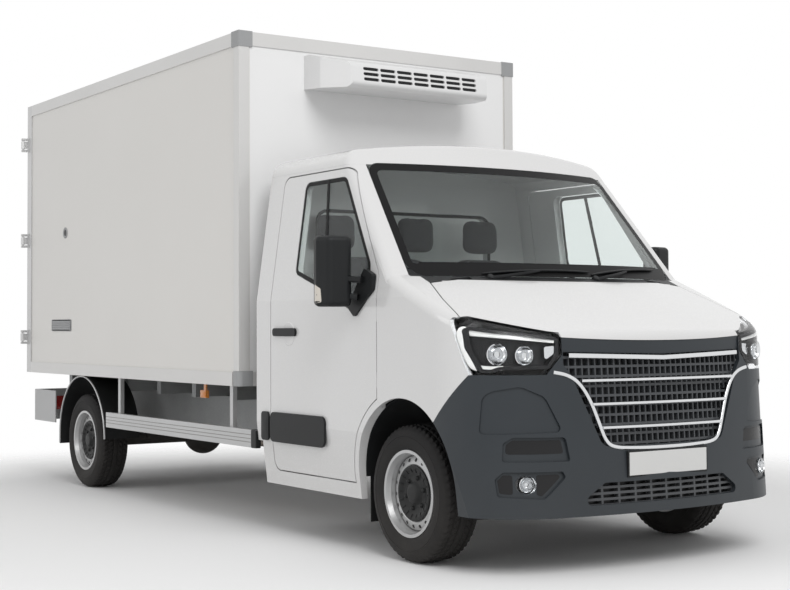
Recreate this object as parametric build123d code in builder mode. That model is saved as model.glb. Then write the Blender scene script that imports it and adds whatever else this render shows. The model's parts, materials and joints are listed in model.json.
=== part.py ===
"""Light truck with a refrigerated box body: ladder chassis, hinged-door cab, box and roof-height cooler.

Millimetres, +X forward, +Y to the truck's left, +Z up. The origin is on the ground, at the middle of the
truck's length and width. Right-hand pieces are drawn first, on the -Y side, and mirrored to the left.
"""

import os
from math import cos, hypot, radians, sin

from build123d import *

os.makedirs("parts", exist_ok=True)

# Layout
wheelbase = 4332
front_overhang = 870
rear_overhang = 1106
track = 1750
overall_length = front_overhang + wheelbase + rear_overhang
front_axle_x = overall_length / 2 - front_overhang
rear_axle_x = front_axle_x - wheelbase
nose_x = front_axle_x + front_overhang

# Clearances
seat_gap = 0.3
panel_gap = 7.0
hinge_pin_r = panel_gap / 2 - seat_gap

# Tyres and wheels, 225/65 R16
tyre_r = 349.5
rim_r = 221
disc_bore_r = 33
vent_count = 16
vent_r = 13
hub_cover_r = 118
hub_cover_t = 14
axle_z = tyre_r
wheel_y = track / 2
stub_r = 32
stub_end = 60
hub_r = 70
disc_seat = 34
brake_r = 138
axle_tube_r = 52
diff_r = 150
spring_seat_z = 418
spring_half = 620
shaft_r = 38
gearbox_back_x = front_axle_x - 760
gearbox_z = 425

# Steering
kingpin_y = 800
knuckle_low_z = 226
knuckle_high_z = 472

# Cab form
cab_half = 1035
cab_bottom = 285
cab_back_x = front_axle_x - 1505
cab_wall = 52
nose_wall = 24
nose_arc_r = 3200
nose_corner_r = 470
nose_lean = 0.06
side_flat_low = 640
side_flat_high = 1345
side_tuck = 42
side_top_y = 930
side_top_z = 2085
roof_z = 2232
roof_drop = 62
roof_corner_r = 110
screen_base_z = 1440
screen_base_x = front_axle_x + 120
screen_arc_r = 2600
screen_run = 610
screen_rise = 680
bonnet_nose_z = 1150
bonnet_nose_x = front_axle_x + 840
bonnet_slope = 0.41
bonnet_crown_r = 7000
edge_r = 60

# Wheel arches and the seams of the cab panels
arch_x = front_axle_x + 18
arch_z = 402
arch_r = 432
seam_x = front_axle_x - 205
door_back_x = front_axle_x - 1330
door_low_z = 372
door_top_z = 2062
door_arch_lip = 45
belt_z = 1465
door_top_front_x = front_axle_x - 605
wing_top_z = 1392
bonnet_half = 975
bonnet_rear_half = 870
bonnet_mid_x = front_axle_x + 250
bonnet_mid_half = 930
bonnet_flat_y = 700
cowl_w = 35
bonnet_room_ys = (615, 736)
bonnet_front_z = 1108
bonnet_side_z = 1226
bonnet_lamp_rise = 18
bonnet_side_x = front_axle_x + 458

# Inside of the cab and the front wheel arches
liner_t = 6
liner_near_y = 640
liner_far_y = 1034
mudflap_near_y = 780
mudflap_far_y = 935
mudflap_low_z = 160
cab_floor_z = 530
hinge_post_y = 880
column_r = 45
wheel_rim_r = 195

# Mirrors
mirror_base_y = 1022
mirror_base_t = 26
mirror_head_y0 = 1075
mirror_head_y1 = 1255
mirror_low_z = 1300
mirror_high_z = 1672
mirror_edge_r = 28

# Windows
glass_in = 3
glass_t = 6
screen_low_z = 1452
screen_high_z = 2096
screen_low_half = 925
screen_high_half = 842
rear_window_half = 640
rear_window_low = 1490
rear_window_high = 1890

# Front end
lamp_inner_y = 605
bonnet_lamp_y = lamp_inner_y - 3
lamp_low_z = 962
grille_top_z = 1100
grille_low_z = 612
grille_top_half = 560
grille_low_half = 400
grille_bar_count = 11
grille_bar_t = 12
grille_post_count = 17
grille_post_t = 9
lower_grille_top_z = 440
lower_grille_low_z = 335
lower_grille_top_half = 400
lower_grille_low_half = 560
fog_y = 800
fog_z = 446
fog_r = 40
pocket_depth = 16
scoop_depth = 10

# Box body
box_front_x = front_axle_x - 1701
box_back_x = rear_axle_x - 1070
box_half = 1050
box_low_z = 838
box_high_z = 2990
box_wall = 70
box_floor_t = 118
rail_h = 84
rail_w = 74
rail_proud = 8
post_w = 70
cap_size = 92
rear_frame_d = 90
rear_post_w = 66
rear_door_t = 78
rear_door_gap = 6
bearer_w = 60
bearer_count = 7
bearer_half = 735
cap_proud = 4
rear_pin_back = 20
rear_pin_out = 30
rear_pin_r = 8
rear_door_middle = 7
rear_hinge_zs = (1120, 1900, 2680)
lock_bar_y = 330

# Cooler unit over the cab
unit_half = 590
unit_front_half = 500
unit_slot_half = 430
unit_depth = 440
unit_low_z = 2640
unit_high_z = 2880
unit_slot_rows = 3
unit_slot_columns = 7

# Chassis
rail_out_y = 500
rail_flange = 70
rail_web_t = 6
rail_top_z = 718
rail_low_z = 510
front_rail_top_z = 520
front_rail_low_z = 370
crossmember_w = 80
crossmember_table = (
    (front_axle_x + 560, 385, 505),
    (front_axle_x - 900, 470, 515),
    (front_axle_x - 1800, 560, 690),
    (front_axle_x - 2900, 560, 690),
    (rear_axle_x - 650, 560, 690),
)
cab_mount_xs = (-560, -1000, -1400)
towbar_spacing_y = 120
towbar_spacing_z = 80
towbar_hole_r = 8.5
towbar_z = 600

# Side guards, mudguards and rear bumper
guard_y = 1020
guard_t = 32
guard_low_z = 480
guard_high_z = 586
guard_front_x = front_axle_x - 1575
guard_back_x = front_axle_x - 3788
guard_cap_len = 60
guard_post_w = 40
guard_post_t = 28
mudguard_r = 440
mudguard_z = 385
mudguard_t = 8
mudguard_w = 270
rear_bumper_low_z = 452
rear_bumper_high_z = 700
rear_bumper_half = 990
rear_bumper_t = 40
rear_bumper_return = 420
rear_lamp_y = 840
rear_lamp_z = 585
rear_lamp_w = 240
rear_lamp_h = 110
guard_post_xs = (-1890, -3620)
marker_xs = (-2264,)


def save(part, name):
    """Label one sub-part and write it to its own file."""
    part.label = name
    export_step(part, f"parts/{name}.step")


def bonnet_z(x):
    """Height of the bonnet's centre line at x."""
    return bonnet_nose_z + (bonnet_nose_x - x) * bonnet_slope


def screen_x(y, z):
    """Place of the wind screen's outside at a given half-width and height."""
    sag = screen_arc_r - (screen_arc_r**2 - y**2) ** 0.5
    return screen_base_x - sag - (z - screen_base_z) * screen_run / screen_rise


def on_rim(edge, inset):
    """True for an edge round the bonnet or round the wind screen."""
    middle, mean = edge @ 0.5, edge.center()
    if middle.Z > screen_base_z + 60:
        return abs(middle.X - screen_x(middle.Y, middle.Z) + inset) < 6
    return bonnet_nose_z - 60 - inset < mean.Z < screen_base_z - 10 and mean.X > seam_x + 100


def space_over_nose(inset):
    """Space ahead of the wind screen and over the bonnet, both surfaces moved inwards by inset."""
    low_z = bonnet_nose_z - 150
    reach = front_overhang + 400
    half = cab_half + 200
    rise = roof_z + 400 - low_z
    lean = Vector(-screen_run, 0, screen_rise).normalized()
    slope = Vector(-1, 0, bonnet_slope).normalized()
    with BuildPart() as space:
        with BuildSketch(Plane.XY.offset(low_z)):
            with BuildLine():
                glass = ThreePointArc(
                    (screen_x(half, low_z) - inset, -half),
                    (screen_x(0, low_z) - inset, 0),
                    (screen_x(half, low_z) - inset, half),
                )
                front_x = nose_x + reach
                Polyline(glass @ 1, (front_x, half), (front_x, -half), glass @ 0)
            make_face()
        extrude(amount=rise / lean.Z, dir=lean)
        start_x = nose_x + reach
        crown_z = bonnet_z(start_x) - inset
        drop = bonnet_crown_r - (bonnet_crown_r**2 - half**2) ** 0.5
        with BuildSketch(Plane.YZ.offset(start_x)):
            with BuildLine():
                crown = ThreePointArc((-half, crown_z - drop), (0, crown_z), (half, crown_z - drop))
                Polyline(crown @ 1, (half, crown_z + 2500), (-half, crown_z + 2500), crown @ 0)
            make_face()
        extrude(amount=(reach + front_overhang + 900) / -slope.X, dir=slope, mode=Mode.INTERSECT)
    return space.part


def cab_form(inset):
    """Outside of the cab drawn in by inset: plan view, front view, wind screen and bonnet each shape it."""
    base_z = cab_bottom - (200 if inset else 0)
    half = cab_half - inset
    arc_r = nose_arc_r - inset
    tip_x = nose_x - inset + (cab_bottom - base_z) * nose_lean
    corner_x = tip_x - (arc_r - (arc_r**2 - half**2) ** 0.5)
    back_x = cab_back_x + inset
    over_nose = space_over_nose(inset)
    with BuildPart() as form:
        with BuildSketch(Plane.XY.offset(base_z)):
            with BuildLine():
                nose = ThreePointArc((corner_x, -half), (tip_x, 0), (corner_x, half))
                Polyline(nose @ 1, (back_x - 300, half), (back_x - 300, -half), nose @ 0)
            make_face()
            fillet(vertices().group_by(Axis.X)[-1], radius=nose_corner_r - inset)
        height = roof_z + 200 - base_z
        extrude(amount=height * hypot(1, nose_lean), dir=Vector(-nose_lean, 0, 1).normalized())
        with BuildSketch(Plane.YZ.offset(back_x)):
            with BuildLine():
                Polyline(
                    (0, base_z),
                    (cab_half - side_tuck, base_z),
                    (cab_half, side_flat_low),
                    (cab_half, side_flat_high),
                    (side_top_y, side_top_z),
                )
                edge_z = roof_z - roof_drop
                edge_y = side_top_y - (edge_z - side_top_z) * (cab_half - side_top_y) / (
                    side_top_z - side_flat_high
                )
                Line((side_top_y, side_top_z), (edge_y, edge_z))
                crown = ThreePointArc((edge_y, edge_z), (0, roof_z), (-edge_y, edge_z))
                Polyline(
                    (-edge_y, edge_z),
                    (-side_top_y, side_top_z),
                    (-cab_half, side_flat_high),
                    (-cab_half, side_flat_low),
                    (-cab_half + side_tuck, base_z),
                    (0, base_z),
                )
            make_face()
            corners = vertices().filter_by(lambda v: abs(v.Y - edge_z) < 1)
            fillet(corners, radius=roof_corner_r)
            if inset:
                offset(amount=-inset)
        extrude(amount=nose_x + 300 - back_x, mode=Mode.INTERSECT)
        add(over_nose, mode=Mode.SUBTRACT)
        if inset < edge_r - 15:
            fillet(edges().filter_by(lambda e: on_rim(e, inset)), radius=edge_r - inset)
    return form.part


def at(x):
    """Lengthwise place given from the front axle."""
    return front_axle_x + x


def side_prism(points, radii, near_y, far_y, grow=0):
    """Solid with a side-view outline, on the right side between two distances from the middle."""
    with BuildPart() as prism:
        with BuildSketch(Plane.XZ.offset(near_y)):
            with BuildLine():
                FilletPolyline(*[(at(x), z) for x, z in points], radius=radii, close=True)
            make_face()
            if grow:
                offset(amount=grow)
        extrude(amount=far_y - near_y)
    return prism.part


def front_prism(points, radii, back_x, front_x, grow=0):
    """Solid with a front-view outline given for the left half and mirrored, between two places along X."""
    with BuildPart() as prism:
        with BuildSketch(Plane.YZ.offset(back_x)):
            with BuildLine():
                FilletPolyline(*points, radius=radii, close=True)
            make_face()
            mirror(about=Plane.YZ)
            if grow:
                offset(amount=grow)
        extrude(amount=front_x - back_x)
    return prism.part


def box_between(x0, x1, y0, y1, z0, z1):
    """Box from its six faces, added to the block it is called in."""
    with Locations(((x0 + x1) / 2, (y0 + y1) / 2, (z0 + z1) / 2)):
        return Box(abs(x1 - x0), abs(y1 - y0), abs(z1 - z0))


def zone(x0, x1, y0, y1, z0, z1):
    """Box from its six faces as a part of its own."""
    with BuildPart() as block:
        box_between(x0, x1, y0, y1, z0, z1)
    return block.part


def behind_screen_arc(shift, low_z, high_z, half):
    """Solid behind the foot of the wind screen moved forward by shift, upright."""
    back_x = cab_back_x - 200
    with BuildPart() as zone:
        with BuildSketch(Plane.XY.offset(low_z)):
            with BuildLine():
                foot = ThreePointArc(
                    (screen_x(half, screen_base_z) + shift, -half),
                    (screen_x(0, screen_base_z) + shift, 0),
                    (screen_x(half, screen_base_z) + shift, half),
                )
                Polyline(foot @ 1, (back_x, half), (back_x, -half), foot @ 0)
            make_face()
        extrude(amount=high_z - low_z)
    return zone.part


def bonnet_plan(grow):
    """Upright solid with the bonnet's outline from above, above the line where the bonnet meets the lamps."""
    rear_x = screen_x(bonnet_flat_y, screen_base_z) + cowl_w
    front_x = nose_x + 200
    behind = behind_screen_arc(cowl_w, 900, 1700, cab_half + 100)
    with BuildPart() as plan:
        with BuildSketch(Plane.XY.offset(900)):
            with BuildLine():
                Polyline(
                    (rear_x, -bonnet_rear_half),
                    (bonnet_mid_x, -bonnet_mid_half),
                    (bonnet_side_x, -bonnet_half),
                    (front_x, -bonnet_half),
                    (front_x, bonnet_half),
                    (bonnet_side_x, bonnet_half),
                    (bonnet_mid_x, bonnet_mid_half),
                    (rear_x, bonnet_rear_half),
                    close=True,
                )
            make_face()
        extrude(amount=800)
        add(behind, mode=Mode.SUBTRACT)
        if grow:
            offset(amount=grow, kind=Kind.INTERSECTION)
        with BuildSketch(Plane.XZ.offset(-1200)):
            with BuildLine():
                slope = (bonnet_side_z - bonnet_front_z) / (nose_x - bonnet_side_x)
                Polyline(
                    (front_x + 50, bonnet_front_z - slope * (front_x + 50 - nose_x) - grow),
                    (bonnet_side_x, bonnet_side_z - grow),
                    (at(-300), bonnet_side_z - grow),
                    (at(-300), 1800),
                    (front_x + 50, 1800),
                    close=True,
                )
            make_face()
        extrude(amount=2400, mode=Mode.INTERSECT)
        lamp_line_z = bonnet_front_z - slope * (front_x + 50 - nose_x) + bonnet_lamp_rise - grow
        for side in (-1, 1):
            with BuildSketch(Plane.XZ.offset(-side * 1300)):
                with BuildLine():
                    Polyline(
                        (front_x + 50, lamp_line_z),
                        (bonnet_side_x, bonnet_side_z + bonnet_lamp_rise - grow),
                        (bonnet_side_x - 60, bonnet_side_z - grow - 1),
                        (bonnet_side_x - 60, 1000),
                        (front_x + 50, 1000),
                        close=True,
                    )
                make_face()
            extrude(amount=side * (1300 - bonnet_lamp_y - grow), mode=Mode.SUBTRACT)
    return plan.part


# Outlines in side view from the front axle, and in front view from the middle
door_arc_r = arch_r + door_arch_lip
window_points = (
    (-1085, 2018), (-640, 2018), (-295, 1530), (-270, 1400), (-420, 1268), (-800, 1410), (-1085, 1495)
)
window_radii = (50, 70, 50, 40, 60, 200, 45)
screen_points = (
    (0, screen_low_z),
    (screen_low_half, screen_low_z),
    (screen_high_half, screen_high_z),
    (0, screen_high_z),
)
rear_window_points = (
    (0, rear_window_low),
    (rear_window_half, rear_window_low),
    (rear_window_half, rear_window_high),
    (0, rear_window_high),
)


def door_prism(near_y, far_y, grow=0):
    """Door outline in side view: upright front edge, foot drawn back round the wheel arch."""
    low = door_low_z - grow
    front, back = seam_x + grow, door_back_x - grow
    arc_r = door_arc_r - grow
    with BuildPart() as prism:
        with BuildSketch(Plane.XZ.offset(near_y)):
            with BuildLine():
                FilletPolyline(
                    (front, belt_z + grow / 2),
                    (front, low),
                    (back, low),
                    (back, door_top_z + grow),
                    (door_top_front_x + grow / 2, door_top_z + grow),
                    radius=(60, 5, 60, 60, 90),
                    close=True,
                )
            make_face()
            with Locations((arch_x, arch_z)):
                Circle(arc_r, mode=Mode.SUBTRACT)
        extrude(amount=far_y - near_y)
    return prism.part


# Skins of the cab at the depths that panels, glass and fitted pieces need
outer = cab_form(0)
glass_outside = cab_form(glass_in)
glass_inside = cab_form(glass_in + glass_t)
nose_inside = cab_form(nose_wall)
nose_fit = cab_form(nose_wall + 0.4)
cab_inside = cab_form(cab_wall)
cab_fit = cab_form(cab_wall + 0.4)

with BuildPart() as nose_shell:
    add(outer)
    add(nose_inside, mode=Mode.SUBTRACT)
with BuildPart() as cab_shell:
    add(outer)
    add(cab_inside, mode=Mode.SUBTRACT)
with BuildPart() as glass_shell:
    add(glass_outside)
    add(glass_inside, mode=Mode.SUBTRACT)

# Spaces that divide the skins into panels
frame_zone = behind_screen_arc(-seat_gap, wing_top_z, roof_z + 100, cab_half + 100)
frame_zone_wide = behind_screen_arc(0, wing_top_z - seat_gap, roof_z + 100, cab_half + 100)
bonnet_space = bonnet_plan(0)
bonnet_opening = bonnet_plan(panel_gap)
screen_opening = front_prism(screen_points, (1, 80, 80, 1), at(-800), at(300))
screen_space = front_prism(screen_points, (1, 80, 80, 1), at(-800), at(300), grow=-0.5)
rear_opening = front_prism(rear_window_points, (1, 60, 60, 1), cab_back_x - 100, cab_back_x + 200)
rear_space = front_prism(rear_window_points, (1, 60, 60, 1), cab_back_x - 100, cab_back_x + 200, grow=-0.5)
door_space = door_prism(720, 1200)
door_opening = door_prism(720, 1200, panel_gap)
window_opening = side_prism(window_points, window_radii, 720, 1200)
window_space = side_prism(window_points, window_radii, 720, 1200, grow=-0.5)

# Bonnet, hinged along its rear corners
with BuildPart() as bonnet:
    add(nose_shell.part)
    add(bonnet_space, mode=Mode.INTERSECT)
save(bonnet.part, "bonnet")

# Doors with their glass
for side, name in ((-1, "right"), (1, "left")):
    with BuildPart() as cab_door:
        add(cab_shell.part)
        add(door_space, mode=Mode.INTERSECT)
        add(window_opening, mode=Mode.SUBTRACT)
    with BuildPart() as door_glass:
        add(glass_shell.part)
        add(window_space, mode=Mode.INTERSECT)
    if side < 0:
        save(cab_door.part, f"cab_door_{name}")
        save(door_glass.part, f"door_glass_{name}")
    else:
        save(cab_door.part.mirror(Plane.XZ), f"cab_door_{name}")
        save(door_glass.part.mirror(Plane.XZ), f"door_glass_{name}")

# Cab frame: roof, side frames round the doors, rear wall, foot of the wind screen
pillar_split = front_prism(
    ((932, 200), (932, screen_low_z - 60), (842, side_top_z + 12), (1300, side_top_z + 12), (1300, 200)),
    (1, 1, 1, 1, 1),
    cab_back_x - 100,
    nose_x + 100,
)
far = 4000
roof_space = zone(-far, far, -far, far, side_top_z + seat_gap, far)
rear_wall_space = zone(cab_back_x - 10, cab_back_x + cab_wall, -far, far, cab_floor_z, side_top_z)

with BuildPart() as cab_roof:
    add(cab_shell.part)
    add(roof_space, mode=Mode.INTERSECT)
    add(screen_opening, mode=Mode.SUBTRACT)
save(cab_roof.part, "cab_roof")

with BuildPart() as cab_rear_wall:
    add(cab_shell.part)
    add(rear_wall_space, mode=Mode.INTERSECT)
    add(rear_opening, mode=Mode.SUBTRACT)
save(cab_rear_wall.part, "cab_rear_wall")

with BuildPart() as arch_cut:
    with BuildSketch(Plane.XZ.offset(-1300)):
        with Locations((arch_x, arch_z)):
            Circle(arch_r)
        with Locations((arch_x, arch_z - 200)):
            Rectangle(2 * arch_r, 400)
    extrude(amount=2600)

side_frame_space = zone(cab_back_x + cab_wall + seat_gap, far, -far, far, 0, side_top_z)
with BuildPart() as behind_seam:
    box_between(cab_back_x, seam_x + panel_gap, -far, far, 0, wing_top_z)
    add(frame_zone)
with BuildPart() as cab_sides:
    add(cab_shell.part)
    add(behind_seam.part, mode=Mode.INTERSECT)
    add(side_frame_space, mode=Mode.INTERSECT)
    add(pillar_split, mode=Mode.INTERSECT)
    add(door_opening, mode=Mode.SUBTRACT)
    add(door_opening.mirror(Plane.XZ), mode=Mode.SUBTRACT)
    add(screen_opening, mode=Mode.SUBTRACT)
    add(arch_cut.part, mode=Mode.SUBTRACT)
    box_between(at(-335), at(-262.3), -hinge_post_y - 90, -hinge_post_y, 860, 1325)
    box_between(at(-335), at(-262.3), hinge_post_y + 90, hinge_post_y, 860, 1325)
save(cab_sides.part, "cab_sides")

# Foot of the wind screen: plastic strip behind the bonnet
cowl_space = behind_screen_arc(cowl_w, wing_top_z - 60, screen_low_z + 40, cab_half + 100)
cowl_corner = zone(at(-200), screen_x(bonnet_flat_y, screen_base_z) + cowl_w, -far, far, wing_top_z - 60, far)
cowl_middle = zone(
    at(-200), far, -bonnet_rear_half - 6, bonnet_rear_half + 6, wing_top_z - 60, screen_low_z + 40
)
cowl_side = zone(at(-200), far, -931.5, 931.5, wing_top_z, screen_low_z + 40)
cowl_front_x = screen_x(bonnet_flat_y, screen_base_z) + cowl_w
bonnet_room = zone(cowl_front_x - 20, cowl_front_x + 10, *bonnet_room_ys, wing_top_z + 18, far)
with BuildPart() as cowl_outline:
    add(cowl_space)
    add(cowl_corner)
    add(cowl_middle, mode=Mode.INTERSECT)
with BuildPart() as cowl_rear:
    add(frame_zone)
    add(cowl_side, mode=Mode.INTERSECT)
with BuildPart() as cowl_zone:
    add(cowl_outline.part)
    add(cowl_rear.part)
with BuildPart() as cowl:
    add(cab_shell.part)
    add(cowl_zone.part, mode=Mode.INTERSECT)
    add(bonnet_opening, mode=Mode.SUBTRACT)
    add(screen_opening, mode=Mode.SUBTRACT)
    add(pillar_split, mode=Mode.SUBTRACT)
    add(bonnet_room, mode=Mode.SUBTRACT)
    add(bonnet_room.mirror(Plane.XZ), mode=Mode.SUBTRACT)
save(cowl.part, "cowl")

with BuildPart() as cab_glass:
    foot_z = screen_low_z - 100
    rise = screen_high_z + 100 - foot_z
    lean = Vector(-screen_run, 0, screen_rise).normalized()
    with BuildSketch(Plane.XY.offset(foot_z)):
        with BuildLine():
            front_x, rear_x = screen_x(0, foot_z) - glass_in, screen_x(cab_half, foot_z) - glass_in
            outside = ThreePointArc((rear_x, -cab_half), (front_x, 0), (rear_x, cab_half))
            inside = ThreePointArc(
                (rear_x - glass_t, cab_half), (front_x - glass_t, 0), (rear_x - glass_t, -cab_half)
            )
            Line(outside @ 1, inside @ 0)
            Line(inside @ 1, outside @ 0)
        make_face()
    extrude(amount=rise / lean.Z, dir=lean)
    add(screen_space, mode=Mode.INTERSECT)
with BuildPart() as rear_glass:
    add(glass_shell.part)
    add(rear_space, mode=Mode.INTERSECT)
with BuildPart() as cab_windows:
    add(cab_glass.part)
    add(rear_glass.part)
save(cab_windows.part, "cab_windows")

# Headlamps, wings, bumper and grilles
lamp_side = ((546, 900), (411, 1237), (600, 1250), (1220, 1250), (1220, 900))
lamp_front = (
    (-lamp_inner_y, 1056), (-690, lamp_low_z), (-1300, lamp_low_z), (-1300, 1700), (-lamp_inner_y, 1700)
)


def lamp_prism(grow):
    """Right headlamp's place: the side-view outline where it meets the front-view outline."""
    side = side_prism(lamp_side, (12, 12, 1, 1, 1), 300, 1200, grow)
    with BuildPart() as prism:
        with BuildSketch(Plane.YZ.offset(at(300))):
            with BuildLine():
                FilletPolyline(*lamp_front, radius=(12, 12, 1, 1, 1), close=True)
            make_face()
            if grow:
                offset(amount=grow)
        extrude(amount=nose_x + 100 - at(300))
        add(side, mode=Mode.INTERSECT)
        add(bonnet_opening, mode=Mode.SUBTRACT)
    return prism.part


lamp_space = lamp_prism(0)
lamp_hole = lamp_prism(seat_gap)
with BuildPart() as headlamps:
    add(cab_shell.part)
    add(lamp_space, mode=Mode.INTERSECT)
    mirror(about=Plane.XZ)

grille_points = (
    (0, grille_low_z), (grille_low_half, grille_low_z), (grille_top_half, 960), (600, 1010),
    (600, grille_top_z + 130), (0, grille_top_z + 130)
)
grille_opening = front_prism(grille_points, (1, 60, 60, 20, 15, 1), at(300), nose_x + 100)
lower_points = (
    (0, lower_grille_low_z),
    (lower_grille_low_half, lower_grille_low_z),
    (lower_grille_top_half, lower_grille_top_z),
    (0, lower_grille_top_z),
)
lower_opening = front_prism(lower_points, (1, 25, 25, 1), at(300), nose_x + 100)
bumper_side = ((-10, 100), (-10, 447), (310, 735), (521, 962), (640, 1700), (1200, 1700), (1200, 100))
bumper_hole = side_prism(bumper_side, (1, 1, 1, 1, 1, 1, 1), 0, 1200, grow=seat_gap)
# Sunk fields of the bumper, front view on the right side: outline, corner radii, depth
bumper_fields = (
    (((-960, 680), (-945, 880), (-811, 908), (-702, 856), (-618, 690)), (20, 60, 60, 60, 20), scoop_depth),
    (((-892, 552), (-886, 640), (-850, 668), (-606, 665), (-584, 550)), (12, 20, 20, 20, 12), pocket_depth),
    (
        ((-912, 388), (-918, 470), (-890, 505), (-628, 505), (-612, 476), (-724, 376)),
        (15, 15, 12, 12, 15, 30), pocket_depth
    ),
)
field_cuts = []
for outline, radii, depth in bumper_fields:
    with BuildPart() as field:
        with BuildSketch(Plane.YZ.offset(at(300))):
            with BuildLine():
                FilletPolyline(*outline, radius=radii, close=True)
            make_face()
        extrude(amount=700)
        add(outer.moved(Location((-depth, 0, 0))), mode=Mode.SUBTRACT)
    field_cuts.append(field.part)

with BuildPart() as front_bumper:
    add(nose_shell.part)
    with BuildSketch(Plane.XZ.offset(-1200)):
        with BuildLine():
            Polyline(*[(at(x), z) for x, z in bumper_side], close=True)
        make_face()
    extrude(amount=2400, mode=Mode.INTERSECT)
    add(arch_cut.part, mode=Mode.SUBTRACT)
    add(lamp_hole, mode=Mode.SUBTRACT)
    add(lamp_hole.mirror(Plane.XZ), mode=Mode.SUBTRACT)
    add(bonnet_opening, mode=Mode.SUBTRACT)
    add(grille_opening, mode=Mode.SUBTRACT)
    add(lower_opening, mode=Mode.SUBTRACT)
    for cut in field_cuts:
        add(cut, mode=Mode.SUBTRACT)
        add(cut.mirror(Plane.XZ), mode=Mode.SUBTRACT)
    with BuildSketch(Plane.YZ.offset(at(300))):
        with Locations((-fog_y, fog_z), (fog_y, fog_z)):
            Circle(fog_r + seat_gap)
    extrude(amount=700, mode=Mode.SUBTRACT)
save(front_bumper.part, "front_bumper")

with BuildPart() as fog_lamps:
    add(cab_shell.part)
    with BuildSketch(Plane.YZ.offset(at(300))):
        with Locations((-fog_y, fog_z), (fog_y, fog_z)):
            Circle(fog_r)
    extrude(amount=700, mode=Mode.INTERSECT)
with BuildPart() as front_lamps:
    add(headlamps.part)
    add(fog_lamps.part)
save(front_lamps.part, "front_lamps")

wing_space = zone(seam_x + panel_gap, nose_x + 100, -far, far, 500, far)
wing_side_space = zone(at(-300), nose_x + 100, -far, -720, 500, far)
with BuildPart() as front_wings:
    add(nose_shell.part)
    add(wing_space, mode=Mode.INTERSECT)
    add(wing_side_space, mode=Mode.INTERSECT)
    add(frame_zone_wide, mode=Mode.SUBTRACT)
    add(bonnet_opening, mode=Mode.SUBTRACT)
    add(bumper_hole, mode=Mode.SUBTRACT)
    add(lamp_hole, mode=Mode.SUBTRACT)
    add(arch_cut.part, mode=Mode.SUBTRACT)
    add(cowl_zone.part, mode=Mode.SUBTRACT)
    mirror(about=Plane.XZ)
save(front_wings.part, "front_wings")

# Grilles: a frame behind each opening with bars and posts
with BuildPart() as grille_shell:
    add(nose_fit)
    add(cab_inside, mode=Mode.SUBTRACT)
grille_height = grille_top_z - grille_low_z - 20
grille_pitch = grille_height / (grille_bar_count - 1)
post_pitch = 2 * 590 / (grille_post_count - 1)
with BuildPart() as grille_bars:
    with BuildSketch(Plane.YZ.offset(at(300))):
        with Locations(*[(0, grille_low_z + 10 + i * grille_pitch) for i in range(grille_bar_count)]):
            Rectangle(1300, grille_bar_t)
        with Locations(
            *[(-590 + i * post_pitch, (grille_low_z + grille_top_z) / 2) for i in range(grille_post_count)]
        ):
            Rectangle(grille_post_t, grille_height)
    extrude(amount=nose_x + 100 - at(300))
grille_ring = (
    (0, grille_low_z - 14),
    (grille_low_half + 8, grille_low_z - 14),
    (grille_top_half + 10, 955),
    (603, 1005),
    (603, grille_top_z - 6),
    (0, grille_top_z - 6),
)
grille_space = front_prism(grille_ring, (1, 60, 60, 20, 15, 1), at(300), nose_x + 100)
with BuildPart() as grille:
    add(grille_shell.part)
    add(grille_space, mode=Mode.INTERSECT)
    add(grille_bars.part, mode=Mode.INTERSECT)

lower_ring = (
    (0, lower_grille_low_z - 12),
    (lower_grille_low_half + 20, lower_grille_low_z - 12),
    (lower_grille_top_half + 10, lower_grille_top_z + 12),
    (0, lower_grille_top_z + 12),
)
lower_space = front_prism(lower_ring, (1, 25, 25, 1), at(300), nose_x + 100)
with BuildPart() as lower_bars:
    with BuildSketch(Plane.YZ.offset(at(300))):
        with Locations(*[(0, lower_grille_low_z - 4 + i * 28) for i in range(5)]):
            Rectangle(1300, 12)
        with Locations(*[(-600 + i * 100, 388) for i in range(13)]):
            Rectangle(12, 140)
    extrude(amount=nose_x + 100 - at(300))
with BuildPart() as lower_grille:
    add(grille_shell.part)
    add(lower_space, mode=Mode.INTERSECT)
    add(lower_bars.part, mode=Mode.INTERSECT)
with BuildPart() as grilles:
    add(grille.part)
    add(lower_grille.part)
save(grilles.part, "grilles")

# Linings of the front wheel arches with their mudflaps
with BuildPart() as arch_ring:
    with BuildSketch(Plane.XZ.offset(liner_near_y)):
        with Locations((arch_x, arch_z)):
            Circle(arch_r + liner_t + seat_gap)
            Circle(arch_r + seat_gap, mode=Mode.SUBTRACT)
        with Locations((arch_x, arch_z - 350)):
            Rectangle(3 * arch_r, 700, mode=Mode.SUBTRACT)
    extrude(amount=liner_far_y - liner_near_y)
with BuildPart() as front_arch_liners:
    add(arch_ring.part)
    add(cab_fit, mode=Mode.INTERSECT)
    rear_x = arch_x - arch_r - seat_gap
    box_between(rear_x - liner_t, rear_x, -mudflap_far_y, -mudflap_near_y, mudflap_low_z, arch_z + 20)
    mirror(about=Plane.XZ)
save(front_arch_liners.part, "front_arch_liners")

# Cab floor, toe board, bulkhead and the shelf under the wind screen, in one pressing
floor_profile = (
    (-1452, cab_floor_z),
    (-470, cab_floor_z),
    (-330, 705),
    (-240, 830),
    (-240, wing_top_z - 60),
    (60, wing_top_z - 60),
    (60, wing_top_z - 40),
    (-262, wing_top_z - 40),
    (-262, 838),
    (-350, 716),
    (-482, cab_floor_z + 22),
    (-1452, cab_floor_z + 22),
)
with BuildPart() as cab_floor:
    with BuildSketch(Plane.XZ.offset(-1100)):
        with BuildLine():
            Polyline(*[(at(x), z) for x, z in floor_profile], close=True)
        make_face()
    extrude(amount=2200)
    add(cab_fit, mode=Mode.INTERSECT)
save(cab_floor.part, "cab_floor")

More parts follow.
